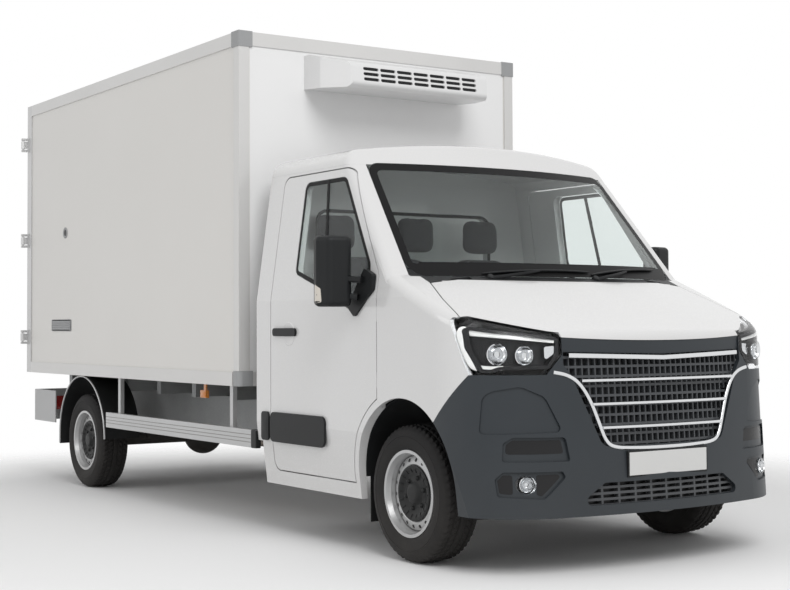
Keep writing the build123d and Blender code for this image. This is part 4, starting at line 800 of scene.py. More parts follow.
# Hub cover and outer ring of a rim's disc, as (radius, reach from the wheel's middle)
hub_profile = (
    (0.0, 0.046), (0.104, 0.046), (0.128, 0.0635), (0.1405, 0.0635), (0.1430, 0.066), (0.1415, 0.0705),
    (0.134, 0.0735), (0.122, 0.0725), (0.108, 0.064), (0.092, 0.0595), (0.066, 0.0595), (0.058, 0.063),
    (0.050, 0.076), (0.043, 0.0815), (0.030, 0.0825), (0.0, 0.083),
)
rim_ring = (
    (0.138, 0.0605), (0.150, 0.0665), (0.170, 0.0630), (0.187, 0.0535), (0.187, 0.0500), (0.170, 0.0585),
    (0.150, 0.0620), (0.138, 0.0580),
)


class TRUCK_OT_hub_covers(bpy.types.Operator):
    """Black hub covers with nut caps on the steel rims, and the rims' outer rings with dark discs painted on
    as the shade of vent holes
    """

    bl_idname = "truck.hub_covers"
    bl_label = "Hub covers"

    def execute(self, context):
        for name, axle_x, side in wheel_table:
            low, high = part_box(f"tyre_{name}")
            centre = np.array((axle_x, (low.y + high.y) / 2, tyre_r))
            axis = (0, side, 0)
            grids = [turned(hub_profile, centre, axis, 72)]
            turn = np.linspace(0, 2 * np.pi, 6, endpoint=False) + 0.26
            spots = centre + np.stack((np.cos(turn), 0 * turn, np.sin(turn)), 1) * 0.080
            spots[:, 1] += side * 0.0595
            grids += domes(spots, 0.0125, 0.014, axis, 12)
            for angle in np.linspace(0, 2 * np.pi, 18, endpoint=False):
                spoke = np.array((np.cos(angle), 0.0, np.sin(angle)))
                ends = centre + spoke * np.linspace(0.107, 0.130, 5)[:, None]
                ends[:, 1] += side * np.array((0.0645, 0.0690, 0.0725, 0.0735, 0.0735))
                grids.append(carried(rounded_section(0.007, 0.005, 2.5, 8), ends, np.cross(axis, spoke)))
            piece(f"hub_cover_{name}", grids, f"wheel_{name}", "black_plastic")
            ring, _, _ = turned(rim_ring, centre, axis, 72)
            piece(f"rim_ring_{name}", [(ring, True, True)], f"wheel_{name}", "rim_silver")
            # Dark discs on the ring: painted shade in place of vent holes
            holes = []
            for angle in np.linspace(0, 2 * np.pi, 18, endpoint=False) + 0.1:
                spoke = np.array((np.cos(angle), 0.0, np.sin(angle)))
                out = np.array(axis) * 0.92 + spoke * 0.39
                spot = centre + spoke * 0.1695 + np.array(axis) * 0.0630
                holes += domes([spot], 0.0100, 0.0012, out, 14)
            piece(f"vent_hole_shades_{name}", holes, f"wheel_{name}", "rim_silver", "lamp_black")
        return {"FINISHED"}


# Front end. Bars: height, half width
grille_bars = ((0.931, 0.508), (0.817, 0.452), (0.703, 0.400))
surround = (
    (0.655, 0.974), (0.585, 0.962), (0.520, 0.925), (0.462, 0.840), (0.415, 0.720), (0.385, 0.640),
    (0.340, 0.606), (0.20, 0.598), (0.0, 0.596),
)
# Dark sheets behind the openings, painted shade for the depth behind the grille, as (y, z) outlines, and how
# far behind the nose they stand
grille_back_shades = (
    ((-0.600, 1.095), (0.600, 1.095), (0.600, 1.000), (0.420, 0.605), (-0.420, 0.605), (-0.600, 1.000)),
    ((-0.560, 0.330), (0.560, 0.330), (0.420, 0.450), (-0.420, 0.450)),
)
back_depth = 0.062


# Dark sheets laid on the bumper where its pockets are, painted shade for their depth, as (y, z)
pocket_shade_outlines = (
    ((0.872, 0.588), (0.868, 0.634), (0.844, 0.654), (0.624, 0.651), (0.610, 0.588)),
    ((0.898, 0.404), (0.903, 0.464), (0.884, 0.490), (0.850, 0.490), (0.850, 0.398)),
    ((0.752, 0.396), (0.752, 0.490), (0.642, 0.490), (0.634, 0.478), (0.730, 0.390)),
)


def behind_nose(depth, places, proud):
    """(y, z) places at a depth behind the nose."""
    return across_to_point(0, places, nose_x(places[..., 0], places[..., 1]) - depth + proud)


class TRUCK_OT_grille(bpy.types.Operator):
    """Chrome bars and surround of the grille, its plain top band and the dark sheets behind the openings,
    painted shade
    """

    bl_idname = "truck.grille"
    bl_label = "Grille"

    def execute(self, context):
        width = context.scene.truck.chrome_width
        grids = []
        for z, half in grille_bars:
            y = np.linspace(-half, half, 41)
            path = on_nose(np.stack((y, np.full_like(y, z)), 1), 0.0015)
            grids.append(carried(rounded_section(width, 0.022, 3.0), path, (0, 0, 1)))
        y = np.linspace(-0.57, 0.57, 49)
        path = on_nose(np.stack((y, 1.036 + 0.03 * np.abs(y)), 1), -0.002)
        grids.append(carried(rounded_section(0.024, 0.018, 3.0), path, (0, 0, 1)))
        half = np.array(surround)
        whole = np.concatenate((half, half[-2::-1] * (-1, 1)))
        path = on_nose(spaced(softened(whole), 160), -0.002)
        across = np.cross(np.gradient(path, axis=0), (1.0, 0.0, 0.0))
        grids.append(carried(rounded_section(0.020, 0.018, 2.6, 20), path, across))
        piece("grille_chrome", grids, "chassis", None, "chrome")
        y = np.linspace(-0.597, 0.597, 61)
        path = on_nose(np.stack((y, 1.088 + 0.026 * np.abs(y)), 1), -0.012)
        top = carried(rounded_section(0.070, 0.010, 6.0), path, (0, 0, 1))
        piece("grille_band", [top], "chassis", "bumper_plastic")
        # Dark sheets: painted shade behind the openings
        sheets = [
            panel(rounded_outline(outline, 0.02, 64), partial(behind_nose, back_depth), 0.004, 8)
            for outline in grille_back_shades
        ]
        piece("grille_back_shades", sheets, "chassis", "grille_black", "lamp_black")
        self.posts()
        self.pocket_shades()
        return {"FINISHED"}

    def posts(self):
        """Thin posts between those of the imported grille, each from the surround's line up to the band."""
        grids = []
        foot_y, foot_z = np.array(surround)[::-1].T
        for y in (np.arange(16) - 7.5) * 0.07375:
            z = np.linspace(np.interp(abs(y), foot_y, foot_z) + 0.004, 1.066, 9)
            path = on_nose(np.stack((np.full_like(z, y), z), 1), -0.0384)
            grids.append(carried(rounded_section(0.009, 0.0276, 8.0, 16), path, (0, 1, 0)))
        piece("grille_posts", grids, "chassis", "grille_black")

    def pocket_shades(self):
        """Dark sheets laid on the bumper beside and above the fog lamps: painted shade for the pockets there.
        """
        face = partial(raised, partial(on_node, "front_bumper", 0, 1), 0.0015)
        grids = [
            panel(rounded_outline(np.array(outline) * (side, 1.0), 0.010, 60), face, 0.004, 6)
            for outline in pocket_shade_outlines
            for side in (-1, 1)
        ]
        piece("bumper_pocket_shades", grids, "chassis", "bumper_plastic", "lamp_black")


# Headlamp of the right side, as (y, z) seen from the front
lamp_outline = (
    (-0.990, 1.196), (-0.895, 1.176), (-0.620, 1.140), (-0.620, 1.060), (-0.672, 0.990), (-0.880, 0.986),
    (-0.905, 0.972), (-0.950, 0.975), (-0.985, 1.090),
)
lamp_rounds = (0.020, 0.050, 0.016, 0.030, 0.030, 0.012, 0.012, 0.020, 0.060)
# Light guide: along the front as (y, z), round the side as (x, z), and back to the front. Last column: width
guide_front = ((-0.640, 1.122, 0.7), (-0.800, 1.142, 0.9), (-0.890, 1.155, 1.1))
guide_side = (
    (2.800, 1.168, 1.5), (2.752, 1.176, 1.8), (2.778, 1.100, 1.9), (2.816, 1.012, 1.6), (2.840, 0.994, 1.1),
)
guide_foot = ((-0.905, 0.992, 0.9), (-0.872, 0.996, 0.8))
lamp_trim = ((-0.690, 1.095), (-0.632, 1.100), (-0.640, 1.062), (-0.690, 1.030))
bowl_table = ((-0.890, 1.060, 0.050), (-0.785, 1.054, 0.046))
fog_place = (-0.800, 0.446)


class TRUCK_OT_front_lamps(bpy.types.Operator):
    """Insides of the headlamps and fog lamps: dark housing, white light guide, bright reflectors and bulbs"""

    bl_idname = "truck.front_lamps"
    bl_label = "Front lamps"

    def execute(self, context):
        for label, side in (("right", 1), ("left", -1)):
            mirror = np.array((side, 1.0))
            face = partial(on_node, "front_lamps", 0, 1)
            outline = rounded_outline(np.array(lamp_outline) * mirror, lamp_rounds, 120)
            inside = rounded_outline(np.array(lamp_outline) * mirror, lamp_rounds, 90)
            grids = [panel(drawn_in(inside, 0.004), partial(raised, face, -0.046), 0.004, 8)]
            grids.append(band(outline, 0.016, partial(raised, face, -0.004), 0.034))
            piece(f"lamp_housing_{label}", grids, "chassis", "lamp_cover", "lamp_black")
            piece(f"lamp_guide_{label}", [self.guide(mirror)], "chassis", "lamp_cover", "lamp_glow")
            grids = []
            for y, z, radius in bowl_table + ((*fog_place, 0.036),):
                spot = np.array([(y, z)]) * mirror
                normal = facing("front_lamps", 0, 1, spot)[0]
                normal = normal * 0.5 + np.array((0.5, 0.0, 0.0))
                centre = face(spot, 0.0)[0]
                grids += self.bowl(centre, normal, radius)
            trim = rounded_outline(np.array(lamp_trim) * mirror, 0.010, 40)
            grids.append(panel(trim, partial(raised, face, -0.012), 0.008, 5, 0.003))
            piece(f"lamp_bowls_{label}", grids, "chassis", "lamp_cover", "chrome")
        return {"FINISHED"}

    def guide(self, mirror):
        """Light guide: a flat bar under the lamp's glass, from the front round the side and back below.

        Points and directions on the glass are joined into one smooth line, and the bar is carried along it.
        """
        rows = []
        for axis, side, table in ((0, 1, guide_front), (1, -mirror[0], guide_side), (0, 1, guide_foot)):
            table = np.array(table)
            places = table[:, :2] * (mirror if axis == 0 else 1.0)
            normal = facing("front_lamps", axis, side, places)
            rows.append(np.hstack((on_node("front_lamps", axis, side, places, 0.0), normal, table[:, 2:])))
        rows = spaced(softened(np.concatenate(rows), 2), 90)
        path = rows[:, :3] - 0.012 * rows[:, 3:6]
        across = np.cross(np.gradient(path, axis=0), rows[:, 3:6])
        return carried(rounded_section(0.026, 0.010, 4.0, 20), path, across, rows[:, 6])

    def bowl(self, centre, axis, radius):
        """Reflector: rim, hollow of rising steps and a bulb cap, turned about the lamp's axis."""
        rings = (
            (0.0, -0.036), (1.0, -0.030), (1.04, -0.008), (0.97, -0.005), (0.90, -0.009), (0.78, -0.018),
            (0.70, -0.020), (0.62, -0.025), (0.46, -0.028), (0.42, -0.018), (0.30, -0.010), (0.0, -0.007),
        )
        profile = np.array(rings) * (radius, 1.0)
        return [turned(profile, centre, axis, 48)]


class TRUCK_OT_number_plates(bpy.types.Operator):
    """Blank number plates in dark carriers, front and rear"""

    bl_idname = "truck.number_plates"
    bl_label = "Number plates"

    def execute(self, context):
        y = np.linspace(-0.26, 0.26, 21)
        path = np.stack((np.full_like(y, nose_tip_x - 0.0195), y, np.full_like(y, 0.523)), 1)
        plates = [carried(rounded_section(0.112, 0.003, 8.0), path + (0.007, 0, 0), (0, 0, 1))]
        carriers = [carried(rounded_section(0.128, 0.012, 8.0), path * (1, 1.03, 1), (0, 0, 1))]
        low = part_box("rear_bumper")[0]
        back = partial(on_flat, 0, low.x, -1)
        outline = oblong((0.170, 0.556), (0.706, 0.684), 0.012)
        carriers.append(panel(outline, partial(raised, back, 0.008), 0.008))
        outline = oblong((0.178, 0.564), (0.698, 0.676), 0.010)
        plates.append(panel(outline, partial(raised, back, 0.010), 0.003))
        piece("plate_carriers", carriers, "chassis", "black_plastic")
        piece("plates_blank", plates, "chassis", "black_plastic", "plate_white")
        return {"FINISHED"}


# Windows: outlines of the openings, as (y, z) for the screens and (x from the front axle, z) for a door
screen_outline = ((-0.925, 1.452), (0.925, 1.452), (0.842, 2.096), (-0.842, 2.096))
rear_outline = ((-0.640, 1.490), (0.640, 1.490), (0.640, 1.890), (-0.640, 1.890))
window_outline = (
    (-1.085, 2.018), (-0.640, 2.018), (-0.295, 1.530), (-0.270, 1.400), (-0.420, 1.268), (-0.800, 1.410),
    (-1.085, 1.495),
)
window_rounds = (0.050, 0.070, 0.050, 0.040, 0.060, 0.200, 0.045)
window_bar = ((-0.832, 2.014), (-0.738, 1.385))
cab_back_in_x = front_axle_x - 1.505 + 0.052
# Wipers: blade from and to, arm foot and the blade's middle, as (y, z) on the screen
wiper_table = (
    ((-0.535, 1.470), (0.168, 1.486), (-0.500, 1.446), (-0.190, 1.488)),
    ((0.176, 1.472), (0.775, 1.512), (0.190, 1.446), (0.470, 1.496)),
)


class TRUCK_OT_glazing(bpy.types.Operator):
    """Black borders of the windows, the doors' window bars and the wipers"""

    bl_idname = "truck.glazing"
    bl_label = "Glazing"

    def execute(self, context):
        outline = drawn_in(rounded_outline(screen_outline, 0.080, 220), 0.003)
        width = 0.040 + 0.035 * np.clip((1.52 - outline[:, 1:]) / 0.06, 0, 1)
        grids = [band(outline, width, partial(raised, on_screen, 0.0012), 0.0006)]
        seal = drawn_in(rounded_outline(rear_outline, 0.060, 120), -0.018)
        grids.append(band(seal, 0.020, partial(on_flat, 0, cab_back_in_x + 0.004, 1), 0.004))
        piece("screen_borders", grids, "chassis", "black_plastic", "rubber_seal")
        for label, side in both_sides:
            face = partial(raised, partial(on_door, side), 0.0012)
            outline = rounded_outline(window_outline, window_rounds, 180) + (front_axle_x, 0.0)
            grids = [band(drawn_in(outline, 0.003), 0.022, face, 0.0006)]
            ends = np.array(window_bar) + (front_axle_x, 0.0)
            path = on_door(side, spaced(ends, 12), 0.001)
            grids.append(carried(rounded_section(0.026, 0.005, 5.0), path, (1.0, 0.0, 0.0)))
            piece(f"window_border_{label}", grids, f"cab_door_{label}", "black_plastic", "rubber_seal")
        self.wipers()
        return {"FINISHED"}

    def wipers(self):
        """Each wiper: a slim blade bowed along the glass, an arm bowed over it and a capped foot."""
        grids = []
        for start, end, foot, grip in wiper_table:
            share = np.linspace(0, 1, 40)[:, None]
            bow = 4 * share * (1 - share)
            line = np.array(start) + (np.array(end) - start) * share + bow * (0.0, 0.012)
            blade = on_screen(line, 0.008 + 0.004 * bow[:, 0])
            size = np.clip(6 * np.minimum(share, 1 - share)[:, 0] + 0.45, 0, 1)
            grids.append(carried(rounded_section(0.012, 0.020, 2.6, 16), blade, (0, 0, 1), size))
            line = np.array(foot) + (np.array(grip) - foot) * share
            arm = on_screen(line, 0.012 + 0.012 * np.sin(share[:, 0] * 2.2))
            size = 1.1 - 0.45 * share[:, 0]
            grids.append(carried(rounded_section(0.018, 0.010, 3.0, 16), arm, (0, 0, 1), size))
            centre = on_screen(np.array([foot]), 0.004)[0]
            profile = ((0, -0.012), (0.020, -0.012), (0.020, 0.010), (0.016, 0.016), (0, 0.018))
            grids.append(turned(profile, centre, (0.67, 0.0, 0.74), 28))
        piece("wipers", grids, "chassis", "black_plastic")


class TRUCK_OT_mirrors(bpy.types.Operator):
    """Glass of the door mirrors in two panes, and their indicator lenses"""

    bl_idname = "truck.mirrors"
    bl_label = "Mirrors"

    def execute(self, context):
        for label, side in both_sides:
            node, body = f"door_fittings_{label}", f"cab_door_{label}"
            back = partial(on_node, node, 0, -1)
            panes = []
            for low_z, high_z in ((1.425, 1.640), (1.332, 1.412)):
                corners = sorted((side * 1.096, side * 1.236))
                outline = oblong((corners[0], low_z), (corners[1], high_z), 0.024, 60)
                panes.append(panel(outline, partial(raised, back, 0.0015), 0.004))
            piece(f"mirror_panes_{label}", panes, body, None, "mirror_glass")
            outer = partial(on_node, node, 1, side)
            x = front_axle_x
            outline = rounded_outline(
                ((x - 0.462, 1.318), (x - 0.412, 1.322), (x - 0.418, 1.395), (x - 0.462, 1.425)), 0.010, 48
            )
            lens = panel(outline, partial(raised, outer, 0.0003), 0.004)
            piece(f"mirror_indicator_{label}", [lens], body, None, "pale_lens")
        return {"FINISHED"}


class TRUCK_OT_door_trim(bpy.types.Operator):
    """Dishes behind the door handles, and the mouldings carried on over the pillars"""

    bl_idname = "truck.door_trim"
    bl_label = "Door trim"

    def execute(self, context):
        dish = (
            (0.0, -0.003), (0.066, -0.003), (0.0675, 0.0), (0.064, 0.0026), (0.058, 0.0012), (0.0, 0.0004),
        )
        for label, side in both_sides:
            centre = (front_axle_x - 1.118, side * cab_side_y, 1.155)
            grids = [turned(dish, centre, (0, side, 0), 64)]
            piece(f"handle_dish_{label}", grids, f"cab_door_{label}", "white_paint")
            face = partial(on_flat, 1, side * (cab_side_y + 0.011), side)
            outline = oblong((front_axle_x - 1.432, 0.538), (front_axle_x - 1.345, 0.704), 0.022, 60)
            moulding = panel(outline, face, 0.012, 5, 0.003)
            piece(f"pillar_moulding_{label}", [moulding], "chassis", "black_plastic")
        return {"FINISHED"}


# Cooler unit: rows and columns of its openings
slot_rows, slot_columns, slot_half = 3, 7, 0.43
slot_low_z, slot_step_z = 2.692, 0.032
# Front of the cooler: its place at a height, and how far it leans back with height
cooler_front_x, cooler_front_z, cooler_lean = 1.0153, 2.660, 0.154


class TRUCK_OT_cooler_trim(bpy.types.Operator):
    """Dark sheets in the cooler's openings, painted shade for their insides, and the dark edge at its end"""

    bl_idname = "truck.cooler_trim"
    bl_label = "Cooler trim"

    def execute(self, context):
        pitch = 2 * slot_half / slot_columns
        grids = []
        for row in range(slot_rows):
            z = slot_low_z + row * slot_step_z
            front = cooler_front_x - cooler_lean * (z - cooler_front_z)
            for column in range(slot_columns):
                y = -slot_half + pitch * (column + 0.5)
                # Dark sheet in each opening: painted shade
                outline = oblong((y - 0.0545, z - 0.0098), (y + 0.0545, z + 0.0098), 0.0095, 28)
                grids.append(panel(outline, partial(on_flat, 0, front - 0.011, 1), 0.003, 3))
        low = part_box("cooler_unit")[0]
        outline = oblong((low.x + 0.004, 2.705), (low.x + 0.052, 2.842), 0.014, 40)
        grids.append(panel(outline, partial(on_flat, 1, low.y + 0.002, -1), 0.006, 5, 0.002))
        piece("cooler_opening_shades", grids, "chassis", "cooler_case", "lamp_black")
        return {"FINISHED"}


# Faces of the rear doors' straps and of their lock gear
strap_face_x, lock_face_x = -3.1283, -3.1423


class TRUCK_OT_box_trim(bpy.types.Operator):
    """Round vent with a dark disc painted in its hole as shade, slatted vent plate on the box's right side,
    bolts of the rear door straps
    """

    bl_idname = "truck.box_trim"
    bl_label = "Box trim"

    def execute(self, context):
        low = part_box("box_side_walls")[0]
        wall = low.y
        rim = (
            (0.020, -0.002), (0.042, -0.002), (0.042, 0.004), (0.036, 0.007), (0.030, 0.0045), (0.020, 0.0),
        )
        # Dark disc in the vent's hole: painted shade
        hole = ((0.0, -0.001), (0.031, -0.001), (0.031, 0.0022), (0.0, 0.0016))
        centre = (front_axle_x - 4.575, wall, 1.920)
        piece("box_vent_hole_shade", [turned(hole, centre, (0, -1, 0), 40)], "chassis", "grey_caps", "lamp_black")
        grids = [(turned(rim, centre, (0, -1, 0), 40)[0], True, True)]
        x0, x1, z0, z1 = front_axle_x - 4.855, front_axle_x - 4.447, 1.168, 1.258
        face = partial(on_flat, 1, wall - 0.004, -1)
        grids.append(band(oblong((x0, z0), (x1, z1), 0.008, 60), 0.010, face, 0.004))
        grids.append(panel(oblong((x0 + 0.004, z0 + 0.004), (x1 - 0.004, z1 - 0.004), 0.006), face, 0.003))
        for z in np.linspace(z0 + 0.020, z1 - 0.020, 4):
            x = np.linspace(x0 + 0.016, x1 - 0.016, 20)
            path = np.stack((x, np.full_like(x, wall - 0.005), np.full_like(x, z)), 1)
            grids.append(carried(rounded_section(0.011, 0.006, 2.5, 12), path, (0, 0, 1)))
        piece("box_vents", grids, "chassis", "grey_caps")
        for label, side in both_sides:
            spots = [(strap_face_x, side * y, z) for z in (1.12, 1.90, 2.68) for y in (0.945, 0.885, 0.825)]
            spots += [(lock_face_x, side * 0.33 + dy, z) for z in (1.5, 2.3) for dy in (-0.022, 0.022)]
            grids = domes(spots, 0.0075, 0.005, (-1, 0, 0), 10)
            piece(f"strap_bolts_{label}", grids, f"rear_door_{label}", "frame_steel")
        return {"FINISHED"}


class TRUCK_OT_guard_trim(bpy.types.Operator):
    """Black end caps of the side guards, darker stripes painted on them as the shade of their grooves, bright
    edges of the rear mudguards
    """

    bl_idname = "truck.guard_trim"
    bl_label = "Guard trim"

    def execute(self, context):
        caps, groove_shades, edges = [], [], []
        for side in (-1, 1):
            y = sorted((side * 1.0022, side * 1.0378))
            x0, x1 = front_axle_x - 1.577, front_axle_x - 1.5128
            caps.append(box_form((x0, y[0], 0.4782), (x1, y[1], 0.5878), 12.0, 8, 48))
            # Darker stripes on the guard's face: painted shade of its grooves
            for z in (0.512, 0.533, 0.556):
                x = np.linspace(front_axle_x - 3.784, front_axle_x - 1.580, 40)
                path = np.stack((x, np.full_like(x, side * 1.0362), np.full_like(x, z)), 1)
                groove_shades.append(carried(rounded_section(0.005, 0.0012, 3.0, 8), path, (0, 0, 1)))
            turn = np.linspace(0, np.pi, 60)
            arc = np.stack((np.cos(turn), 0 * turn, np.sin(turn)), 1) * 0.444
            arc += (rear_axle_x, side * 1.0053, 0.385)
            tail = arc[-1:] + np.linspace(0.01, 0.080, 6)[:, None] * (0.0, 0.0, -1.0)
            path = np.concatenate((arc, tail))
            edges.append(carried(rounded_section(0.013, 0.012, 2.4, 12), path, (0, 1, 0)))
        piece("guard_caps", caps, "chassis", "black_plastic")
        piece("guard_groove_shades", groove_shades, "chassis", "rail_metal", "groove_shade_grey")
        piece("mudguard_edges", edges, "chassis", "rail_metal")
        return {"FINISHED"}


class TRUCK_OT_rear_lamps(bpy.types.Operator):
    """Amber, red and clear lenses of the rear lamps and the amber lenses of the side markers"""

    bl_idname = "truck.rear_lamps"
    bl_label = "Rear lamps"

    def execute(self, context):
        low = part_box("body_lamps")[0]
        back = partial(on_flat, 0, low.x - 0.004, -1)
        # Lenses: material, from and to, out from the middle
        lenses = (("amber_lens", 0.884, 0.956), ("lamp_red", 0.802, 0.880), ("pale_lens", 0.724, 0.798))
        for material, near, far in lenses:
            grids = []
            for side in (-1, 1):
                y = sorted((side * near, side * far))
                outline = oblong((y[0], 0.534), (y[1], 0.636), 0.008, 48)
                grids.append(panel(outline, back, 0.005, 6, 0.005))
            piece(f"rear_lens_{material}", grids, "chassis", "lamp_red", material)
        grids = []
        for side in (-1, 1):
            x = front_axle_x - 2.264
            outline = oblong((x - 0.038, 0.750), (x + 0.038, 0.794), 0.010, 48)
            grids.append(panel(outline, partial(on_flat, 1, side * 1.0135, side), 0.004, 6, 0.006))
        piece("marker_lenses", grids, "chassis", "lamp_red", "amber_lens")
        return {"FINISHED"}


# Seats. Columns: name, middle, width, places of the headrests and of the sewn channels from the middle
seat_table = (
    ("driver", 0.52, 0.50, (0.0,), (-0.115, 0.115)),
    ("bench", -0.275, 0.90, (-0.290, 0.290), (-0.335, -0.115, 0.0, 0.115, 0.335)),
)
seat_back_lean = -0.11


def mesh_points(mesh):
    """Points of a mesh as an array."""
    points = np.empty(len(mesh.vertices) * 3)
    mesh.vertices.foreach_get("co", points)
    return points.reshape(-1, 3)


class TRUCK_OT_seats(bpy.types.Operator):
    """Padded driver's seat and double bench with headrests, blown up by cloth simulation, on plastic bases"""

    bl_idname = "truck.seats"
    bl_label = "Seats"

    def execute(self, context):
        bases = []
        for name, middle, width, heads, channels in seat_table:
            half = width / 2 - 0.012
            cushion = box_form((0.958, middle - half, 0.812), (1.442, middle + half, 0.918), 5.0, 10, 64)
            self.pad(f"seat_cushion_{name}", cushion, middle, channels, 2, 0.012, True)
            back = box_form((-0.034, middle - half, 0.0), (0.034, middle + half, 0.705), 5.0, 12, 64)
            back[0][...] += (0.980, 0.0, 0.925)
            back[0][..., 0] += seat_back_lean * (back[0][..., 2] - 0.925)
            self.pad(f"seat_back_{name}", back, middle, channels, 0, 0.012, False)
            for number, place in enumerate(heads):
                y = middle + place
                head = box_form((0.884, y - 0.138, 1.652), (0.931, y + 0.138, 1.872), 4.0, 10, 48)
                self.pad(f"headrest_{name}_{number}", head, y, (), 0, 0.008, False)
            low, high = (0.962, middle - half + 0.03, 0.556), (1.426, middle + half - 0.03, 0.806)
            bases.append(box_form(low, high, 9.0, 8, 56))
        piece("seat_bases", bases, "chassis", "dash_plastic")
        return {"FINISHED"}

    def pad(self, name, form, middle, channels, axis, most, first):
        """Cushion: its closed form swollen, drawn in along sewn channels and smoothed."""
        made = piece(name, [form], "chassis", "seat_fabric")
        self.swell(made, 0.010, 4.0, most)
        points = mesh_points(made.data)
        centre = points.mean(0)
        for place in channels:
            fall = np.exp(-(((points[:, 1] - middle - place) / 0.011) ** 2))
            points[:, axis] -= 0.008 * fall * np.sign(points[:, axis] - centre[axis])
        made.data.vertices.foreach_set("co", points.ravel())
        made.data.shade_smooth()
        finer = made.modifiers.new("finer", "SUBSURF")
        finer.levels = finer.render_levels = 1
        if first:
            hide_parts("seats")

    def swell(self, made, voxel, pressure, most):
        """Even small faces, then a short cloth run under inner pressure that moves no point too far."""
        remesh = made.modifiers.new("even", "REMESH")
        remesh.mode = "VOXEL"
        remesh.voxel_size = voxel
        made.data = self.evaluated(made)
        made.modifiers.clear()
        before = mesh_points(made.data)
        cloth = made.modifiers.new("cloth", "CLOTH")
        cloth.settings.use_pressure = True
        cloth.settings.uniform_pressure_force = pressure
        cloth.settings.effector_weights.gravity = 0.0
        cloth.point_cache.frame_start, cloth.point_cache.frame_end = 1, 20
        for number in range(1, 21):
            bpy.context.scene.frame_set(number)
        move = mesh_points(self.evaluated(made)) - before
        length = np.linalg.norm(move, axis=1, keepdims=True)
        move *= np.minimum(1.0, most / np.maximum(length, 1e-9))
        made.modifiers.clear()
        made.data.vertices.foreach_set("co", (before + move).ravel())
        bpy.context.scene.frame_set(1)

    def evaluated(self, made):
        """Mesh of a piece with its modifiers worked out."""
        graph = bpy.context.evaluated_depsgraph_get()
        return bpy.data.meshes.new_from_object(made.evaluated_get(graph))


class TRUCK_OT_dash_trim(bpy.types.Operator):
    """Instrument hood with dials, middle screen and air vents of the dashboard"""

    bl_idname = "truck.dash_trim"
    bl_label = "Dash trim"

    def execute(self, context):
        turn = np.linspace(0.05, np.pi - 0.05, 40)
        x = front_axle_x - 0.425
        hood = np.stack((np.full_like(turn, x), 0.43 + 0.20 * np.cos(turn), 1.325 + 0.075 * np.sin(turn)), 1)
        grids = [carried(rounded_section(0.15, 0.012, 4.0, 20), hood, (1, 0, 0.15))]
        back = partial(on_node, "dashboard", 0, -1)
        vents = (-0.77, -0.19, 0.19, 0.77)
        for y in vents:
            grids.append(band(oblong((y - 0.062, 1.205), (y + 0.062, 1.262), 0.012, 48), 0.008, back, 0.012))
            for z in (1.219, 1.2335, 1.248):
                line = np.stack((np.linspace(y - 0.052, y + 0.052, 9), np.full(9, z)), 1)
                path = back(line, 0.0)
                grids.append(carried(rounded_section(0.004, 0.014, 3.0, 10), path, (0, 0, 1)))
        piece("dash_hood", grids, "chassis", "dash_plastic")
        dials = []
        for y in (0.36, 0.50):
            rim = ((0, -0.006), (0.052, -0.006), (0.052, 0.008), (0.047, 0.009), (0.045, 0.002), (0, 0.002))
            dials.append(turned(rim, (x - 0.035, y, 1.333), (-1, 0, 0.25), 40))
        screen = oblong((-0.118, 1.200), (0.118, 1.275), 0.010, 60)
        dials.append(panel(screen, partial(raised, back, -0.004), 0.008, 6))
        piece("dash_dials", dials, "chassis", "dash_plastic", "lamp_black")
        return {"FINISHED"}


# Distances from the middle over which the floor fades away, in metres
floor_fade = (2.9, 5.6)
# Camera solved from the photo: eye point, viewing direction, roll in radians, shift of the picture
camera_place = (8.4234, -5.1287, 1.2027)
camera_forward = (-0.8277, 0.5603, 0.0326)
camera_roll = 0.0048
camera_shift = (-0.01645, -0.0223)


